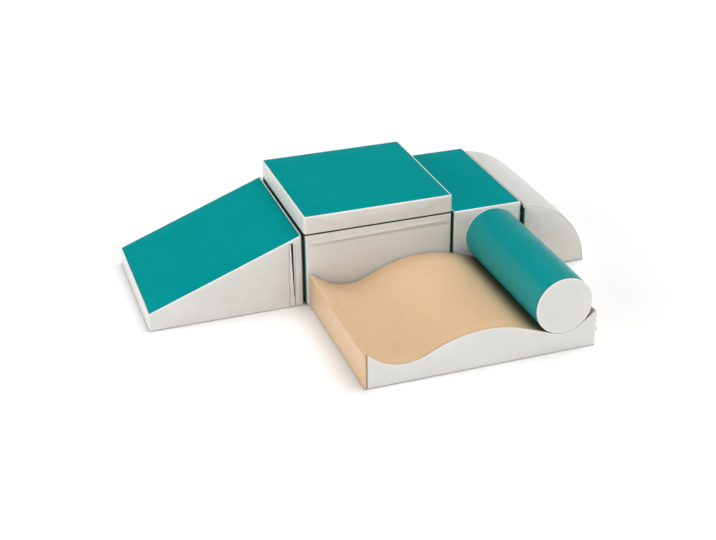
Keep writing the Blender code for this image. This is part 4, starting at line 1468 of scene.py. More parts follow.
@dataclass
class ZipTape:
    """A closed zip: two woven tapes with their teeth, and a stop at each end."""

    line: ZipLine
    half_width: float = 0.012
    thickness: float = 0.0008
    level: float = -0.0015
    overhang: float = 0.004
    slit: float = 0.0008
    tooth_reach: float = 0.003
    tooth_top: float = -0.0007
    tooth_low: float = -0.0031
    tooth_pitch: float = 0.0034
    tooth_share: float = 0.62
    tooth_taper: float = 0.0005
    hem: float = 0.0015
    hem_slope: float = 0.0006
    hem_step: float = 0.0003
    stop: float = 0.002
    stop_gap: float = 0.0002
    stop_taper: float = 0.0004
    sections: int = 13

    def build(self) -> bpy.types.Mesh:
        """Make the zip's mesh, in place."""
        shape = bmesh.new()
        for side in (-1.0, 1.0):
            self._tape(shape, side)
            self._teeth(shape, side)
        for end in (-1.0, 1.0):
            x = end * (self.line.length / 2 - self.stop / 2)
            half = (self.stop / 2 - self.stop_gap, self.tooth_reach)
            self._block(shape, x, 0.0, half, self.stop_taper)
        bmesh.ops.recalc_face_normals(shape, faces=shape.faces)
        bmesh.ops.transform(shape, matrix=self.line.frame(), verts=shape.verts)
        return as_mesh(shape, "zip")

    def _tape(self, shape: bmesh.types.BMesh, side: float) -> None:
        """One woven tape, with a thicker selvedge."""
        top = self.level - self.line.sink
        low = top - self.thickness
        hem = self.half_width - self.hem
        section = [
            (self.slit, low),
            (self.half_width, low),
            (self.half_width, top),
            (hem, top),
            (hem - self.hem_slope, top - self.hem_step),
            (self.slit, top - self.hem_step),
        ]
        half = self.line.length / 2 + self.overhang
        loops = []
        for x in np.linspace(-half, half, self.sections):
            loops.append([shape.verts.new((x, side * y, z)) for y, z in section])
        for first, second in zip(loops, loops[1:]):
            for k in range(len(section)):
                n = (k + 1) % len(section)
                shape.faces.new((first[k], first[n], second[n], second[k]))
        shape.faces.new(loops[0])
        shape.faces.new(loops[-1])

    def _teeth(self, shape: bmesh.types.BMesh, side: float) -> None:
        """One row of moulded teeth, half a pitch out of step with the other."""
        span = self.line.length - 2 * self.stop - self.tooth_pitch
        count = int(span / self.tooth_pitch)
        start = -count * self.tooth_pitch / 2 + side * self.tooth_pitch / 4
        middle = side * (self.slit + self.tooth_reach) / 2
        half = (self.tooth_pitch * self.tooth_share / 2, (self.tooth_reach - self.slit) / 2)
        for k in range(count + 1):
            self._block(shape, start + k * self.tooth_pitch, middle, half, self.tooth_taper)

    def _block(
        self,
        shape: bmesh.types.BMesh,
        x: float,
        y: float,
        half: Pair,
        taper: float,
    ) -> None:
        """A tooth or a stop, narrower at its top."""
        rings = []
        for z, inset in ((self.tooth_low, taper), (self.level, 0.0), (self.tooth_top, taper)):
            wide, deep = half[0] - inset * 0.8, half[1] - inset * 0.8
            corners = ((-wide, -deep), (wide, -deep), (wide, deep), (-wide, deep))
            level = z - self.line.sink
            rings.append([shape.verts.new((x + a, y + b, level)) for a, b in corners])
        for first, second in zip(rings, rings[1:]):
            for k in range(4):
                n = (k + 1) % 4
                shape.faces.new((first[k], first[n], second[n], second[k]))
        shape.faces.new(rings[0][::-1])
        shape.faces.new(rings[-1])


@dataclass
class StitchRow:
    """A row of lockstitch along a path on a cover."""

    points: Sequence[Vector]
    out: Vector
    pitch: float = 0.0042
    share: float = 0.72
    thickness: float = 0.0008

    def add_to(self, shape: bmesh.types.BMesh) -> None:
        """Add the stitches to a mesh."""
        path = np.array([tuple(p) for p in self.points])
        run = lengths(path)
        count = int(run[-1] / self.pitch)
        for k in range(count):
            first = (k + (1 - self.share) / 2) * self.pitch
            last = first + self.share * self.pitch
            ends = [Vector([np.interp(s, run, path[:, c]) for c in range(3)]) for s in (first, last)]
            self._stitch(shape, *ends)

    def _stitch(self, shape: bmesh.types.BMesh, first: Vector, last: Vector) -> None:
        """One stitch: a short thread that dips into the fabric at both ends."""
        ahead = (last - first).normalized()
        across = ahead.cross(self.out).normalized() * (self.thickness / 2)
        rise = self.out * (self.thickness / 2)
        rings = []
        for share, lift in ((0.25, 0.35), (0.75, 0.35)):
            spot = first.lerp(last, share) + self.out * self.thickness * lift
            corners = (across, rise, -across, -rise)
            rings.append([shape.verts.new(spot + c) for c in corners])
        start = shape.verts.new(first - rise * 0.6)
        end = shape.verts.new(last - rise * 0.6)
        for k in range(4):
            n = (k + 1) % 4
            shape.faces.new((rings[0][k], rings[0][n], rings[1][n], rings[1][k]))
            shape.faces.new((start, rings[0][n], rings[0][k]))
            shape.faces.new((end, rings[1][k], rings[1][n]))


def stitching(rows: Sequence[StitchRow]) -> bpy.types.Mesh:
    """A mesh of several rows of stitches."""
    shape = bmesh.new()
    for row in rows:
        row.add_to(shape)
    bmesh.ops.recalc_face_normals(shape, faces=shape.faces)
    return as_mesh(shape, "stitches")


def zip_border(line: ZipLine, sunk: float) -> StitchRow:
    """The row of stitches that sews a zip's tape in, all round its slot."""
    half_x, half_y = line.length / 2 + STITCH_MARGIN, ZIP_SLOT / 2 + STITCH_MARGIN
    corners = [(-half_x, -half_y), (half_x, -half_y), (half_x, half_y), (-half_x, half_y)]
    axes = line.frame()
    points = [axes @ Vector((x, y, -sunk)) for x, y in [*corners, corners[0]]]
    return StitchRow(points, line.out)


@dataclass
class PileStrip:
    """A strip of hook or loop pile, sewn to a cover's face."""

    node: str
    out: Vector
    tuft: float = 0.0003
    tuft_scale: float = 180.0
    corner: float = 0.005
    run_step: float = 0.008
    side_step: float = 0.006
    edge_fade: float = 0.002

    def panel(self, name: str) -> Panel:
        """The strip as a panel, its pile roughened."""
        low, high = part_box(self.node)
        size = high - low
        axis = max(range(3), key=lambda k: abs(self.out[k]))
        run_axis = max(range(3), key=lambda k: size[k])
        side_axis = 3 - axis - run_axis
        half = (size[run_axis] / 2, size[side_axis] / 2)
        x = graded(2 * half[0], step=self.run_step) - half[0]
        y = graded(2 * half[1], step=self.side_step) - half[1]
        flat_x, flat_y = np.meshgrid(x, y)
        plan_x, plan_y, _, _ = round_plan(flat_x, flat_y, half, self.corner)
        middle = (low + high) / 2
        grid = np.zeros((*flat_x.shape, 3))
        grid[..., run_axis] = middle[run_axis] + plan_x
        grid[..., side_axis] = middle[side_axis] + plan_y
        face = high[axis] if self.out[axis] > 0 else low[axis]
        gap = edge_gap(x, y)
        tufts = rough(grid, self.tuft_scale)
        sunk = self.tuft * (0.5 + 0.5 * tufts) + self.tuft * np.exp(-gap / self.edge_fade)
        grid[..., axis] = face - self.out[axis] * sunk
        thick = size[axis] - 2.2 * self.tuft
        return Panel(name, Slot.STRIP, grid, gap, flat_x, 0.0 * gap, skin=thick)


@dataclass
class FoamCore:
    """A core cut from foam with a wire: one outline drawn along Y, its edges eased."""

    outline: Sequence[Pair]
    front: float
    back: float
    tape: str
    margin: float = CORE_MARGIN
    ease: float = 0.006
    room: float = 0.0012

    def build(self) -> bpy.types.Mesh:
        """Make the core's mesh, with its channel for the zip."""
        shape = bmesh.new()
        ends = []
        outline = self._spaced()
        for y in (self.front + self.margin, self.back - self.margin):
            ends.append([shape.verts.new((x, y, z)) for x, z in outline])
        count = len(outline)
        for k in range(count):
            n = (k + 1) % count
            shape.faces.new((ends[0][k], ends[0][n], ends[1][n], ends[1][k]))
        rims = [edge for end in ends for edge in shape.faces.new(end).edges]
        bmesh.ops.bevel(shape, geom=rims, offset=self.ease, segments=3, profile=0.5, affect="EDGES")
        wide = [face for face in shape.faces if len(face.verts) > 4]
        bmesh.ops.triangulate(shape, faces=wide, ngon_method="EAR_CLIP")
        bmesh.ops.recalc_face_normals(shape, faces=shape.faces)
        return self._channelled(as_mesh(shape, "core"))

    def _spaced(self) -> list[Pair]:
        """The outline without the points that its eased edge has no room for."""
        kept = [self.outline[0]]
        for point in self.outline[1:]:
            if math.dist(point, kept[-1]) > 2.2 * self.ease:
                kept.append(point)
        return kept

    def _channelled(self, mesh: bpy.types.Mesh) -> bpy.types.Mesh:
        """Cut the channel that the zip's tape lies in."""
        low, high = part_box(self.tape)
        size = high - low + 2 * Vector((self.room, self.room, self.room))
        place = Matrix.Translation((low + high) / 2) @ Matrix.Diagonal((*size, 1.0))
        shape = bmesh.new()
        bmesh.ops.create_cube(shape, size=1.0, matrix=place)
        core, cutter = add_object("core", mesh), add_object("channel", as_mesh(shape, "channel"))
        cut = core.modifiers.new("channel", "BOOLEAN")
        cut.object = cutter
        cut.operation = "DIFFERENCE"
        graph = bpy.context.evaluated_depsgraph_get()
        made = bpy.data.meshes.new_from_object(core.evaluated_get(graph))
        bpy.data.objects.remove(core)
        bpy.data.objects.remove(cutter)
        return made


# The set


@dataclass
class Block:
    """What every block of the set has: panels to fill, and pieces to add once they are."""

    room: Workroom
    body: str
    panels: list[Panel] = field(default_factory=list)
    nodes: dict[str, str] = field(default_factory=dict)
    middle: Sequence[float] = (0.0, 0.0, 0.0)

    def cut_out(self, panel: Panel, node: str) -> None:
        """Keep a panel for the sewing room, with the CAD node that it stands for."""
        face_away(panel, self.middle)
        if panel.lid:
            face_away(panel.lid, self.middle)
            self.panels.append(panel.lid)
        self.panels.append(panel)
        self.nodes[panel.name] = node

    def sew_up(self) -> None:
        """Turn the filled panels into pieces."""
        lids = [id(panel.lid) for panel in self.panels if panel.lid]
        for panel in self.panels:
            if id(panel) in lids:
                continue
            fill = None if panel.slot in (Slot.UNDERSIDE, Slot.STRIP) else COVER_FILL
            self.room.sew(panel, self.body, [self.nodes[panel.name]], fill)

    def add_zip(
        self, line: ZipLine, thread: Slot, flapped: bool = False, sunk: float = 0.0
    ) -> None:
        """Add a zip's tape with its teeth, and the stitches that hold it.

        Args:
            line: Where the zip lies.
            thread: The cover that the thread matches.
            flapped: True where a flap hides the stitches.
            sunk: How far the stitches are drawn into the cover.
        """
        tape = ZipTape(line).build()
        self.room.piece(self.body + "_zip_chain", tape, self.body, Slot.TAPE, [self.body + "_zip_tape"])
        if not flapped:
            self.add_stitches("_zip_stitches", [zip_border(line, sunk)], thread)

    def add_stitches(self, ending: str, rows: Sequence[StitchRow], thread: Slot) -> None:
        """Add rows of stitches in the thread that goes with a cover."""
        material = self.room.wardrobe.threads[thread]
        name = self.body + ending
        self.room.piece(name, stitching(rows), self.body, thread, material=material)

    def add_strip(self, node: str, out: Sequence[float]) -> None:
        """Add a hook or loop strip in a CAD strip's place."""
        panel = PileStrip(node, Vector(out)).panel(node + "_pile")
        low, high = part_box(node)
        behind = (low + high) / 2 - Vector(out)
        self.room.sew(face_away(panel, behind), self.body, [node])

    def add_core(self, outline: Sequence[Pair], front: float, back: float) -> None:
        """Add the block's foam."""
        core = FoamCore(outline, front, back, self.body + "_zip_tape").build()
        name = self.body + "_foam"
        self.room.piece(name, core, self.body, Slot.FOAM, [self.body + "_foam_core"], FOAM_FILL)


@dataclass
class Base(Block):
    """The square block that the others are held to, with a flap over its zip."""

    body: str = "base"
    flap_lift: float = 0.0028
    flap_rise: float = 0.0118
    flap_hem: float = 0.0010
    flap_ease: float = 0.05
    flap_curve: float = 1.5
    flap_shares: Sequence[float] = (1.0, 0.92, 0.78, 0.58, 0.38, 0.2, 0.08, 0.0)
    # Painted shadow under the flap's free edge, and painted shade below it
    edge_shadow: float = 0.95
    edge_shade: float = 0.80
    edge_fade: float = 0.6
    stitch_inset: float = 0.003
    facing_lift: float = 0.0004
    facing_foot: float = 0.0015
    # Painted shade line on the facing below the flap
    facing_shade: float = 0.60
    facing_rows: Sequence[Pair] = (
        (0.0003, 0.1),
        (0.0020, 0.4),
        (0.0026, 0.5),
        (0.0044, 0.7),
        (0.0052, 0.8),
        (0.0060, 0.9),
        (1.0, 1.0),
    )

    def cut_cloth(self) -> None:
        """Lay out the block's panels."""
        low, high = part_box("base_side_band")
        self.line, slot_x, slot_z = zip_line(
            "base_zip_tape", (1, 0, 0), (0, -1, 0), low.y, FLAPPED_SINK
        )
        self.block = StraightBlock(
            "base",
            *plan_of(low, high),
            low.z,
            high.z,
            high.z,
            Slot.GREY,
            top_roll=LOW_ROLL,
            keeps_x=slot_x,
            keeps_z=slot_z,
            swell={Side.LEFT: STILL_SWELL, Side.RIGHT: STILL_SWELL, Side.FRONT: 0.0020, Side.BACK: 0.0030},
            top_swell=0.0009,
            gap_shaded_sides=(Side.LEFT, Side.RIGHT),
            gap_shaded_top=True,
            still=(
                "base_loop_strip_left",
                "base_loop_strip_right",
                "base_loop_strip_front",
                "base_loop_strip_top",
                "base_zip_flap",
            ),
        )
        self.middle = (0.0, 0.0, high.z / 2)
        band = self.block.band()
        self.block.cut(band, Side.FRONT, slot_x, slot_z)
        self.cut_out(band, "base_side_band")
        top = self.block.top()
        # Painted gap shade round the top, where the pad sits on it
        top.gap_shade = border(top.gap)
        self.cut_out(top, "base_top_panel")
        self.cut_out(self.block.underside(), "base_bottom_panel")

    def flap(self) -> Panel:
        """The flap over the zip, on a facing: its free edge rises to the right."""
        low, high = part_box("base_zip_flap")
        x = graded(high.x - low.x, (SKIN, high.x - low.x - SKIN)) + low.x
        across = (x - x[0]) / (x[-1] - x[0])
        edge = low.z + self.flap_hem + self.flap_rise * across
        above = np.array(self.flap_shares)[:, None]
        foot = low.z - self.facing_foot
        upper = edge + (high.z - edge) * above
        lower = [edge - np.minimum(depth, share * (edge - foot)) for depth, share in self.facing_rows]
        free = smooth(np.minimum(x - x[0], x[-1] - x), 0.0, self.flap_ease)
        first = len(above)
        grid = np.zeros((first + len(lower), len(x), 3))
        grid[..., 0] = x
        grid[..., 1] = self.line.middle.y - SKIN - self.facing_lift
        grid[:first, :, 1] -= self.flap_lift * free * (1.0 - above) ** self.flap_curve
        grid[0, :, 1] += SKIN
        grid[-1, :, 1] += SKIN / 2
        grid[..., 2] = np.concatenate([upper, lower])
        # Painted shadow under the flap's edge, and a painted shade line on the facing
        painted_shade, shade = 0.0 * grid[..., 0], 0.0 * grid[..., 0]
        painted_shade[first : first + 2] = self.edge_shadow * free
        shade[first : first + 2] = self.edge_shade * free * (1.0 - self.edge_fade * across)
        painted_shade[first + 4] = self.facing_shade * free
        panel = loose_strip("base_flap", grid, x, painted_shade)
        # The shade under the flap's edge is painted in the gap shade's colour
        panel.gap_shade = shade
        return panel

    def dress(self) -> None:
        """Add the block's pieces."""
        self.sew_up()
        self.room.sew(face_away(self.flap(), self.middle), self.body, ["base_zip_flap"])
        self.add_zip(self.line, Slot.GREY, flapped=True)
        _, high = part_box("base_zip_flap")
        level, reach = self.line.middle.y - SKIN - self.facing_lift, high.x - self.stitch_inset
        ends = [Vector((x, level, high.z - self.stitch_inset)) for x in (-reach, reach)]
        self.add_stitches("_stitches", [StitchRow(ends, self.line.out)], Slot.GREY)
        self.add_strip("base_loop_strip_left", (-1, 0, 0))
        self.add_strip("base_loop_strip_right", (1, 0, 0))
        self.add_strip("base_loop_strip_front", (0, -1, 0))
        self.add_strip("base_loop_strip_top", (0, 0, 1))
        self.add_core(*self.block.core())


@dataclass
class Pad(Block):
    """The pad on the base block: a teal top on a grey tray."""

    body: str = "pad"
    swell: float = 0.0030
    gap_shade_rise: Pair = (0.0014, 0.0024)

    def cut_cloth(self) -> None:
        """Lay out the pad's panels."""
        low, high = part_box("pad_cover_tray")
        self.line, slot_y, slot_z = zip_line("pad_zip_tape", (0, -1, 0), (1, 0, 0), high.x)
        self.block = StraightBlock(
            "pad",
            *plan_of(low, high),
            low.z,
            high.z,
            high.z,
            Slot.TEAL,
            keeps_y=slot_y,
            keeps_z=slot_z,
            swell={side: self.swell for side in Side},
            still=("pad_zip_tape",),
        )
        self.middle = (0.0, 0.0, (low.z + high.z) / 2)
        tray = self.block.band()
        tray.name = "pad_tray"
        self.block.cut(tray, Side.RIGHT, slot_y, slot_z)
        rows = len(edge_roll(LOW_ROLL)) - ROLL_STEPS
        self._trim_foot(tray, rows)
        tray.lid = self.block.cap("pad_under", Slot.GREY, LOW_ROLL, False, 0.0)
        # Painted gap shade under the pad and along its foot
        tray.lid.gap_shade = border(tray.lid.gap)
        tray.lid.gap = tray.lid.gap + UNSEWN
        tray.gap_shade = 1.0 - smooth(tray.grid[..., 2] - low.z, *self.gap_shade_rise)
        self.cut_out(tray, "pad_cover_tray")
        self.cut_out(self.block.top(), "pad_top_panel")

    def _trim_foot(self, tray: Panel, rows: int) -> None:
        """Drop the rows of the foot's seam: the tray's underside is one with its walls."""
        tray.painted_shade = None
        tray.grid, tray.run = tray.grid[rows:], tray.run[rows:]
        tray.slack = tray.slack[rows:]
        along = lengths(tray.grid)
        tray.gap = along[-1] - along
        tray.holes = [(a - rows, b - rows, c, d) for a, b, c, d in tray.holes]

    def dress(self) -> None:
        """Add the pad's pieces."""
        self.sew_up()
        self.add_zip(self.line, Slot.GREY)
        self.add_strip("pad_hook_strip", (0, 0, -1))
        self.add_core(*self.block.core())


@dataclass
class Ramp(Block):
    """The wedge on the left, with a flap beside its zip that gapes at the top."""

    body: str = "ramp"
    toe: float = 0.070
    tall: float = 0.299
    gape: float = 0.0085
    flap_lift: float = 0.0026
    flap_foot: float = 0.006
    flap_hem: float = 0.0015
    flap_lean: float = 0.0075
    flap_curve: float = 1.6
    foot_share: float = 0.2
    # Painted shade along the flap's sewn edge
    flap_shade: float = 0.55
    flap_reaches: Sequence[float] = (0.0, 0.0015, 0.004, 0.008, 0.013, 0.017, 0.0195, 0.0212, 0.022)
    hem_lift: float = 0.0003
    hem_depth: float = 0.0008
    hem_reach: float = 0.0203
    hem_width: float = 0.0018
    facing_from: float = 0.0062
    facing_lean: float = 0.0090
    facing_width: float = 0.020
    facing_shares: Sequence[float] = (0.0, 0.04, 0.10, 0.35, 0.65, 0.90, 0.96, 1.0)
    # Painted shade lines at both edges of the facing
    facing_shade: Pair = (0.60, 0.35)
    stitch_lift: float = 0.0004
    stitch_foot: float = 0.002
    stitch_top: float = 0.004
    flap_stitch: float = 0.0045
    facing_stitch: float = 0.002

    def cut_cloth(self) -> None:
        """Lay out the ramp's panels."""
        low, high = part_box("ramp_side_band")
        self.line, slot_z, slot_x = zip_line(
            "ramp_zip_tape", (0, 0, 1), (0, -1, 0), low.y, FLAPPED_SINK
        )
        self.block = StraightBlock(
            "ramp",
            *plan_of(low, high),
            low.z,
            self.toe,
            self.tall,
            Slot.TEAL,
            keeps_x=slot_x,
            keeps_z=slot_z,
            swell={Side.LEFT: 0.0022, Side.RIGHT: STILL_SWELL, Side.FRONT: 0.0032, Side.BACK: 0.0032},
            gap_shaded_sides=(Side.RIGHT,),
            still=("ramp_hook_strip", "ramp_zip_flap", "ramp_zip_tape"),
        )
        self.middle = (*self.block.centre, (self.toe + self.tall) / 4)
        band = self.block.band()
        self.block.cut(band, Side.FRONT, slot_x, slot_z)
        self.cut_out(band, "ramp_side_band")
        self.cut_out(self.block.top(), "ramp_slope_panel")
        self.cut_out(self.block.underside(), "ramp_bottom_panel")

    def flap(self) -> Panel:
        """The flap beside the zip: its free edge draws back towards the top."""
        low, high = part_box("ramp_zip_flap")
        low.z = self.flap_foot
        z = graded(high.z - low.z) + low.z
        reach = np.array(self.flap_reaches)
        share = (reach / reach[-1])[:, None]
        up = (z - low.z) / (high.z - low.z)
        sewn = low.x + self.flap_hem + self.flap_lean * up
        grid = np.zeros((len(reach), len(z), 3))
        grid[..., 0] = sewn + share * (high.x - self.gape * up - sewn)
        opened = self.foot_share + (1.0 - self.foot_share) * up
        lift = self.hem_lift + self.flap_lift * share**self.flap_curve * opened
        hem = self.hem_depth * np.exp(-(((reach - self.hem_reach) / self.hem_width) ** 2))
        grid[..., 1] = self.line.middle.y - lift - SKIN - hem[:, None]
        grid[0, :, 1] += SKIN
        grid[..., 2] = z
        painted_shade = 0.0 * grid[..., 0]
        # Painted shade along the sewn edge
        painted_shade[:2] = self.flap_shade
        return loose_strip("ramp_flap", grid, z, painted_shade)

    def facing(self) -> Panel:
        """The strip of fabric that faces the opening's right side, down to the floor."""
        _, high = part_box("ramp_zip_flap")
        z = graded(high.z - self.flap_foot) + self.flap_foot
        share = np.array(self.facing_shares)[:, None]
        lean = self.facing_lean * (z - z[0]) / (z[-1] - z[0])
        grid = np.zeros((len(share), len(z), 3))
        grid[..., 0] = self.line.middle.x + self.facing_from + lean + share * (self.facing_width - lean)
        grid[..., 1] = self.line.middle.y - SKIN
        grid[[0, -1], :, 1] += SKIN
        grid[..., 2] = z
        painted_shade = 0.0 * grid[..., 0]
        # Painted shade lines at the facing's edges
        painted_shade[:2], painted_shade[-2:] = self.facing_shade
        return loose_strip("ramp_facing", grid, z, painted_shade)

    def dress(self) -> None:
        """Add the ramp's pieces."""
        self.sew_up()
        self.room.sew(face_away(self.flap(), self.middle), self.body, ["ramp_zip_flap"])
        self.room.sew(face_away(self.facing(), self.middle), self.body)
        self.add_zip(self.line, Slot.GREY, flapped=True)
        low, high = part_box("ramp_zip_flap")
        level = self.line.middle.y - SKIN - self.stitch_lift
        facing = self.line.middle.x + self.facing_from + self.facing_stitch
        rows = []
        for foot, lean in ((low.x + self.flap_stitch, self.flap_lean), (facing, self.facing_lean)):
            start = Vector((foot, level, self.flap_foot + self.stitch_foot))
            end = Vector((foot + lean, level, high.z - self.stitch_top))
            rows.append(StitchRow([start, end], self.line.out))
        self.add_stitches("_stitches", rows, Slot.GREY)
        self.add_strip("ramp_hook_strip", (1, 0, 0))
        self.add_core(*self.block.core())


@dataclass
class Step(Block):
    """The narrow teal-topped block on the right of the base."""

    body: str = "step"

    def cut_cloth(self) -> None:
        """Lay out the step's panels."""
        low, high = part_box("step_side_band")
        self.line, slot_x, slot_z = zip_line("step_zip_tape", (-1, 0, 0), (0, 1, 0), high.y)
        self.block = StraightBlock(
            "step",
            *plan_of(low, high),
            low.z,
            high.z,
            high.z,
            Slot.TEAL,
            keeps_x=slot_x,
            keeps_z=slot_z,
            swell={Side.LEFT: STILL_SWELL, Side.RIGHT: STILL_SWELL, Side.FRONT: 0.0028, Side.BACK: 0.003},
            gap_shaded_sides=(Side.LEFT, Side.RIGHT),
            still=("step_hook_strip", "step_loop_strip", "step_zip_tape"),
        )
        self.middle = (*self.block.centre, high.z / 2)
        band = self.block.band()
        self.block.cut(band, Side.BACK, slot_x, slot_z)
        self.cut_out(band, "step_side_band")
        self.cut_out(self.block.top(), "step_top_panel")
        self.cut_out(self.block.underside(), "step_bottom_panel")

    def dress(self) -> None:
        """Add the step's pieces."""
        self.sew_up()
        self.add_zip(self.line, Slot.GREY)
        self.add_strip("step_hook_strip", (-1, 0, 0))
        self.add_strip("step_loop_strip", (1, 0, 0))
        self.add_core(*self.block.core())


@dataclass
class Arc(Block):
    """The quarter-round at the right end."""

    body: str = "arc"
    height: float = 0.290
    width: float = 0.280
    radius: float = 0.309
    crest_round: float = 0.007
    valley: float = 0.0005
    toe_room: float = 0.0005
    columns: int = 32
    core_points: int = 24
    core_toe: float = 0.02

    def section(self) -> Track:
        """The curved panel's path: over the tall wall's edge and down to the toe."""
        top, toe = Vector((0.0, self.height)), Vector((self.width, 0.0))
        chord = toe - top
        away = Vector((chord.y, -chord.x)).normalized()
        rise = math.sqrt(self.radius**2 - (chord.length / 2) ** 2)
        centre = (top + toe) / 2 + away * rise
        start = math.atan2(*(top - centre).yx)
        end = math.atan2(*(toe - centre).yx)
        corners = [(0.0, self.height - seam_inset(TOP_ROLL), 0.0), (0.0, self.height, self.crest_round)]
        for angle in np.linspace(start, end, self.columns)[1:-1]:
            spot = centre + Vector((math.cos(angle), math.sin(angle))) * self.radius
            corners.append((spot.x, spot.y, 0.0))
        corners += [(self.width, 0.0, LOW_ROLL), (self.width - seam_inset(LOW_ROLL), 0.0, 0.0)]
        return Track(rounded_path(corners))

    def cut_cloth(self) -> None:
        """Lay out the block's panels."""
        low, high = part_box("arc_walls")
        self.line, slot_z, slot_x = zip_line("arc_zip_tape", (0, 0, 1), (0, 1, 0), high.y)
        self.block = SectionBlock(
            "arc",
            low.x,
            low.y,
            high.y - low.y,
            self.section(),
            Slot.PALE,
            Slot.GREY,
            valley=self.valley,
            still=("arc_hook_strip", "arc_zip_tape", "arc_zip_slider"),
        )
        self.middle = (low.x + self.width / 3, (low.y + high.y) / 2, self.height / 3)
        self.cut_out(self.block.wrap("arc_curve"), "arc_curved_panel")
        self.cut_out(self._walls(low, high, slot_x, slot_z), "arc_walls")
        self.cut_out(self.block.underside(), "arc_bottom_panel")

    def _walls(self, low: Vector, high: Vector, slot_x: Pair, slot_z: Pair) -> Panel:
        """The tall wall and both ends in one, with the zip's slot at the back."""
        toe = low.x + self.width - seam_inset(TOP_ROLL) - self.toe_room
        corners = [
            (toe, low.y, 0.0),
            (low.x, low.y, CORNER),
            (low.x, high.y, CORNER),
            (toe, high.y, 0.0),
        ]
        plan = Track(rounded_path(corners, WALL_TURN))
        keeps = [plan.length - (toe - x) for x in slot_x]
        places = plan.turns(keeps)
        panel = self.block.wall("arc_wall", plan, places, False)
        spot, out = plan.at(places)
        tall = out[:, 0] < -0.5
        panel.slack[:, tall] = np.minimum(panel.slack[:, tall], STILL_SWELL)
        end = np.minimum(spot[:, 1] - low.y, high.y - spot[:, 1])
        # Painted gap shade on the tall wall, which faces the step
        panel.gap_shade = looks_to(out, Side.LEFT) * border(np.minimum(panel.gap, end[None, :]))
        cols = between(places, keeps)
        heights = panel.grid[:, cols[len(cols) // 2], 2]
        panel.holes.append((*nearest(heights, slot_z), cols[0], cols[-1]))
        return panel

    def dress(self) -> None:
        """Add the block's pieces."""
        self.sew_up()
        self.add_zip(self.line, Slot.GREY)
        self.add_strip("arc_hook_strip", (-1, 0, 0))
        outline = self.block.core(self.core_points)
        left, toe = self.block.left + CORE_MARGIN, self.block.left + self.width - self.core_toe
        outline += [(toe, CORE_MARGIN), (left, CORE_MARGIN)]
        self.add_core(outline, self.block.front, self.block.back)


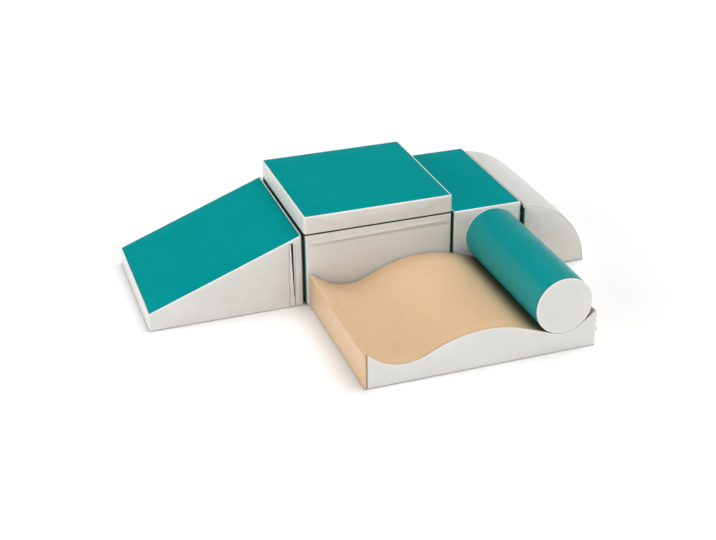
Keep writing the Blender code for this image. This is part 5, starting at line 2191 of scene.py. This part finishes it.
@dataclass
class Wave(Block):
    """The wave mat in front, with the roll's cradle at its right."""

    body: str = "wave"
    width: float = 0.886
    left_height: float = 0.1445
    right_height: float = 0.1475
    crest_round: float = 0.0055
    corner_strip: float = 0.008
    turns_share: Sequence[Pair] = ((0.142, 0.2915), (0.4857, 1.2644), (0.8736, 0.407))
    turn_radii: Sequence[float] = (0.178, 0.440, 0.118)
    # How strongly shade is painted in the mat's seam valleys
    painted_shade_level: float = 0.85
    # Painted shadow of the roll on the mat: its darkness and reach
    scuff_and_shadow: float = 0.92
    roll_shadow_reach: float = 0.030
    core_points: int = 60

    def section(self) -> Track:
        """The wrap's path: up the left wall, over the wave and down the right wall."""
        under = seam_inset(LOW_ROLL)
        corners = [
            (under, 0.0, 0.0),
            (0.0, 0.0, LOW_ROLL),
            (0.0, self.left_height, self.crest_round),
        ]
        for (x, z), radius in zip(self.turns_share, self.turn_radii):
            corners.append((x * self.width, z * self.right_height, radius))
        corners += [
            (self.width, self.right_height, self.crest_round),
            (self.width, 0.0, LOW_ROLL),
            (self.width - under, 0.0, 0.0),
        ]
        return Track(rounded_path(corners))

    def cut_cloth(self) -> None:
        """Lay out the mat's panels."""
        low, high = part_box("wave_wrap")
        self.line, slot_y, slot_z = zip_line("wave_zip_tape", (0, -1, 0), (1, 0, 0), high.x)
        section = self.section()
        under = seam_inset(LOW_ROLL) + LOW_ROLL * (math.pi / 2 - 2.0)
        keeps_run = [section.length - under - z for z in reversed(slot_z)]
        self.block = SectionBlock(
            "wave",
            low.x,
            low.y,
            high.y - low.y,
            section,
            Slot.BEIGE,
            Slot.GREY,
            roll=self.corner_strip - 3 * SEAM_HALF,
            over=LOW_ROLL,
            over_from=self.corner_strip,
            keeps_run=keeps_run,
            keeps_y=slot_y,
            still=("wave_zip_tape", "wave_hook_strip", "roll_tube_cover"),
        )
        self.middle = (low.x + self.width / 2, (low.y + high.y) / 2, 0.0)
        wrap = self.block.wrap("wave_top")
        cols = between(section.turns(keeps_run), keeps_run)
        rows = between(wrap.grid[:, -1, 1], slot_y)
        wrap.holes.append((rows[0], rows[-1], cols[0], cols[-1]))
        wrap.shade_paint = self.painted_shade_level
        # The roll's painted shadow on the mat
        wrap.painted_shade = np.maximum(wrap.painted_shade, self._roll_shadow(wrap))
        self.cut_out(wrap, "wave_wrap")
        left, deep = low.x + self.corner_strip, seam_inset(self.block.over)
        ends = {
            "front": [(high.x, low.y + deep, 0.0), (high.x, low.y, LOW_ROLL), (left, low.y, 0.0)],
            "back": [(left, high.y, 0.0), (high.x, high.y, LOW_ROLL), (high.x, high.y - deep, 0.0)],
        }
        for side, path in ends.items():
            plan = Track(rounded_path(path, WALL_TURN))
            panel = self.block.wall("wave_" + side, plan, plan.turns(), True)
            panel.shade_paint = self.painted_shade_level
            if side == "back":
                panel.slack = np.minimum(panel.slack, STILL_SWELL)
            self.cut_out(panel, f"wave_{side}_panel")
        self.cut_out(self.block.underside(), "wave_bottom_panel")

    def _roll_shadow(self, wrap: Panel) -> Array:
        """Painted shadow of the roll on the wrap: how dark it is, by its distance from the roll."""
        roll_low, roll_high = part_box("roll_tube_cover")
        middle = (roll_low + roll_high) / 2
        from_axis = np.hypot(wrap.grid[..., 0] - middle.x, wrap.grid[..., 2] - middle.z)
        away = np.maximum(from_axis - (roll_high.x - roll_low.x) / 2, 0.0)
        return self.scuff_and_shadow * np.exp(-away / self.roll_shadow_reach)

    def dress(self) -> None:
        """Add the mat's pieces."""
        self.sew_up()
        self.add_zip(self.line, Slot.BEIGE)
        self.add_strip("wave_hook_strip", (0, 1, 0))
        self.add_core(self.block.core(self.core_points), self.block.front, self.block.back)


@dataclass
class Roll(Block):
    """The roll that lies in the wave mat's cradle."""

    body: str = "roll"
    turn: float = 0.0025
    tail: float = 0.0020
    columns: int = 58
    disc_row: float = 0.0010
    tube_swell: float = 0.0016
    tube_reach: float = 0.05
    disc_swell: float = 0.0034
    disc_reach: Pair = (0.010, 0.05)
    # How strongly shade is painted in the tube's seam valleys
    painted_shade_level: float = 0.6
    stitch_sink: float = 0.0008
    core_points: int = 48

    def cut_cloth(self) -> None:
        """Lay out the roll's tube and end discs."""
        low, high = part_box("roll_tube_cover")
        self.axis = Vector(((low.x + high.x) / 2, 0.0, (low.z + high.z) / 2))
        self.radius = (high.x - low.x) / 2
        self.front, self.back = low.y, high.y
        self.line, slot_y, _ = zip_line("roll_zip_tape", (0, 1, 0), (1, 0, 0), high.x)
        self.middle = (self.axis.x, (low.y + high.y) / 2, self.axis.z)
        self.cut_out(self._tube(slot_y), "roll_tube_cover")
        for name, node, y, side in (
            ("roll_disc_near", "roll_end_disc_near", self.front, -1.0),
            ("roll_disc_far", "roll_end_disc_far", self.back, 1.0),
        ):
            self.cut_out(self._disc(name, y, side), node)

    def _tube(self, slot_y: Pair) -> Panel:
        """The teal tube, with its slot along the right side."""
        half_slot = math.asin(ZIP_SLOT / 2 / self.radius)
        angles = np.linspace(half_slot, 2 * math.pi - half_slot, self.columns)
        angles = np.concatenate([angles, [2 * math.pi]])
        length = self.back - self.front
        seam = self.turn + self.tail + SEAM_HALF
        beside = seam_steps(seam, ROLL_STEPS)
        keeps = [y - self.front - seam for y in slot_y]
        middle = graded(length - 2 * seam, keeps)[1:-1] + seam
        rows = beside + [(y, 0.0) for y in middle] + [(length - y, d) for y, d in reversed(beside)]
        grid = np.zeros((len(rows), len(angles), 3))
        for k, (y, depth) in enumerate(rows):
            reach = self.radius - depth
            grid[k, :, 0] = self.axis.x + reach * np.cos(angles)
            grid[k, :, 1] = self.front + y
            grid[k, :, 2] = self.axis.z + reach * np.sin(angles)
        along = lengths(grid[:, 0])
        gap = np.broadcast_to(np.minimum(along, along[-1] - along)[:, None], grid.shape[:2])
        run = np.broadcast_to(angles * self.radius, gap.shape)
        slack = self.tube_swell * smooth(gap, 0.0, self.tube_reach) * quiet(grid, ("roll_zip_tape",))
        panel = Panel("roll_tube", Slot.TEAL, grid, gap.copy(), run, slack, ring=True, tight=True)
        rows_of_slot = nearest(grid[:, 0, 1], slot_y)
        panel.holes.append((*rows_of_slot, len(angles) - 2, len(angles)))
        panel.shade_paint = self.painted_shade_level
        return panel

    def _disc(self, name: str, y: float, side: float) -> Panel:
        """An end disc, drawn over the edge of the foam to its seam on the tube."""
        flat_radius = self.radius - self.turn
        whole = flat_radius + self.turn * math.pi / 2 + self.tail
        fine = [self.disc_row * k for k in range(1, 7)] + [8 * self.disc_row]
        lines = graded(2 * whole, (*fine, *(2 * whole - place for place in fine))) - whole
        flat_x, flat_y = np.meshgrid(lines, lines)
        plan_x, plan_z, _, _ = round_plan(flat_x, flat_y, (whole, whole), whole)
        drawn = np.hypot(plan_x, plan_z)
        gap = np.maximum(whole - drawn, 0.0)
        turned = np.clip((drawn - flat_radius) / self.turn, 0.0, math.pi / 2)
        reach = np.minimum(drawn, flat_radius) + self.turn * np.sin(turned) - dip(gap)
        depth = self.turn * (1.0 - np.cos(turned))
        depth += np.maximum(drawn - flat_radius - self.turn * math.pi / 2, 0.0)
        share = reach / np.maximum(drawn, EVEN)
        grid = np.zeros((*flat_x.shape, 3))
        grid[..., 0] = self.axis.x + plan_x * share
        grid[..., 1] = y - side * depth
        grid[..., 2] = self.axis.z + plan_z * share
        run = np.arctan2(plan_z, plan_x) * self.radius
        slack = self.disc_swell * smooth(gap, *self.disc_reach)
        return Panel(name, Slot.GREY, grid, gap, run, slack)

    def dress(self) -> None:
        """Add the roll's pieces."""
        self.sew_up()
        self.add_zip(self.line, Slot.TEAL, sunk=self.stitch_sink)
        reach = self.radius - CORE_MARGIN
        angles = np.linspace(0, 2 * math.pi, self.core_points, endpoint=False)
        outline = [
            (self.axis.x + reach * math.cos(a), self.axis.z + reach * math.sin(a)) for a in angles
        ]
        self.add_core(outline, self.front, self.back)


class Hardware:
    """The zips' sliders and pull rings, which stay as the frame has them."""

    metals = {"_zip_slider": Slot.ZIP, "_pull_ring": Slot.RING}

    def __init__(self, wardrobe: Wardrobe) -> None:
        """Give each slider and ring its metal."""
        for name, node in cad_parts.items():
            for ending, metal in self.metals.items():
                if name.endswith(ending):
                    node.data.materials.clear()
                    node.data.materials.append(wardrobe.materials[metal])


# The studio


@dataclass
class Camera:
    """The camera of the product view: a fitted pinhole."""

    place: tuple[float, float, float] = (-1.50696, -4.46247, 2.41249)
    azimuth: float = 0.328288
    elevation: float = 0.480979
    roll: float = -0.011319
    lens: float = 64.559
    sensor: float = 36.0
    clip_end: float = 100.0

    def build(self) -> None:
        """Add the camera and make it the scene's."""
        az, el = self.azimuth, self.elevation
        ahead = Vector((math.sin(az) * math.cos(el), math.cos(az) * math.cos(el), -math.sin(el)))
        right = Vector((math.cos(az), -math.sin(az), 0.0))
        up = right.cross(ahead)
        turned = math.cos(self.roll) * right + math.sin(self.roll) * up
        upright = -math.sin(self.roll) * right + math.cos(self.roll) * up
        axes = Matrix((turned, upright, -ahead)).transposed().to_4x4()
        data = bpy.data.cameras.new("camera")
        data.lens = self.lens
        data.sensor_width = self.sensor
        data.clip_end = self.clip_end
        camera = add_object("camera", data)
        camera.matrix_world = Matrix.Translation(self.place) @ axes
        bpy.context.scene.camera = camera


@dataclass
class Studio:
    """A pale floor, and a white surround that lights the set softly, most from overhead."""

    overhead: float = 4.05
    front: float = 0.25
    behind: float = 0.03
    horizon: float = 0.88
    low_front: float = 0.72
    low_left: float = 2.10
    low_right: float = 0.60
    lamp_axis: tuple[float, float, float] = (0.32, 0.03, 0.947)
    lamp_edge: float = 0.80
    lamp_fade: float = 0.10
    front_from: float = 0.35
    front_fade: float = 0.8
    side_from: float = 0.5
    side_fade: float = 0.35
    haze_top: float = 0.17
    haze_front: float = 0.13
    haze_left: float = 0.30
    haze_fade: float = 0.10
    floor_size: float = 60.0
    floor_drop: float = 0.0005

    def build(self) -> None:
        """Add the studio round the set."""
        Camera().build()
        self._world()
        self._floor()
        bpy.context.scene.view_settings.view_transform = "Standard"

    def _world(self) -> None:
        """Light the set by direction, and show white to the camera."""
        world = bpy.data.worlds.new("surround")
        bpy.context.scene.world = world
        world.use_nodes = True
        world.node_tree.nodes.clear()
        recipe = Recipe(world.node_tree)
        across, depth, height = recipe.axes(recipe.add("ShaderNodeTexCoord"))
        x, y, z = self.lamp_axis
        above = across * x + depth * y + height * z
        lamp = ((above - self.lamp_edge) / self.lamp_fade).clamped()
        ahead = (self.front_from - depth / self.front_fade).clamped()
        left = ((-across - self.side_from) / self.side_fade).clamped()
        right = ((across - self.side_from) / self.side_fade).clamped()
        reach = (ahead * self.haze_front + left * self.haze_left) + self.haze_top
        haze = 1.0 - ((height - reach) / self.haze_fade).clamped()
        low = ahead * self.low_front + left * self.low_left + right * self.low_right + self.horizon
        light = ahead * (self.front - self.behind) + self.behind
        light = light + (low - light) * haze
        light = light + (self.overhead - light) * lamp
        lit = recipe.add("ShaderNodeBackground", inputs={"Strength": light})
        plain = recipe.add("ShaderNodeBackground")
        seen = recipe.add("ShaderNodeLightPath", output="Is Camera Ray")
        mix = recipe.add("ShaderNodeMixShader", inputs={0: seen, 1: lit, 2: plain})
        recipe.node("ShaderNodeOutputWorld", inputs={0: mix})

    def _floor(self) -> None:
        """Lay the floor."""
        shape = bmesh.new()
        bmesh.ops.create_grid(shape, x_segments=2, y_segments=2, size=self.floor_size / 2)
        floor = add_object("floor", as_mesh(shape, "floor"))
        floor.data.materials.append(Ground("studio floor").mix())
        floor.location = (0.0, 0.0, -self.floor_drop)


def main() -> None:
    """Dress the climber, block by block, and set it in the studio."""
    logging.basicConfig(level=logging.INFO, format="%(message)s")
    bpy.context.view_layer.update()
    wardrobe = Wardrobe()
    room = Workroom(wardrobe)
    blocks = [kind(room) for kind in (Base, Pad, Ramp, Step, Arc, Wave, Roll)]
    for block in blocks:
        block.cut_cloth()
    SewingRoom().fill([panel for block in blocks for panel in block.panels])
    for block in blocks:
        block.dress()
    Hardware(wardrobe)
    Studio().build()


if __name__ == "__main__":
    main()
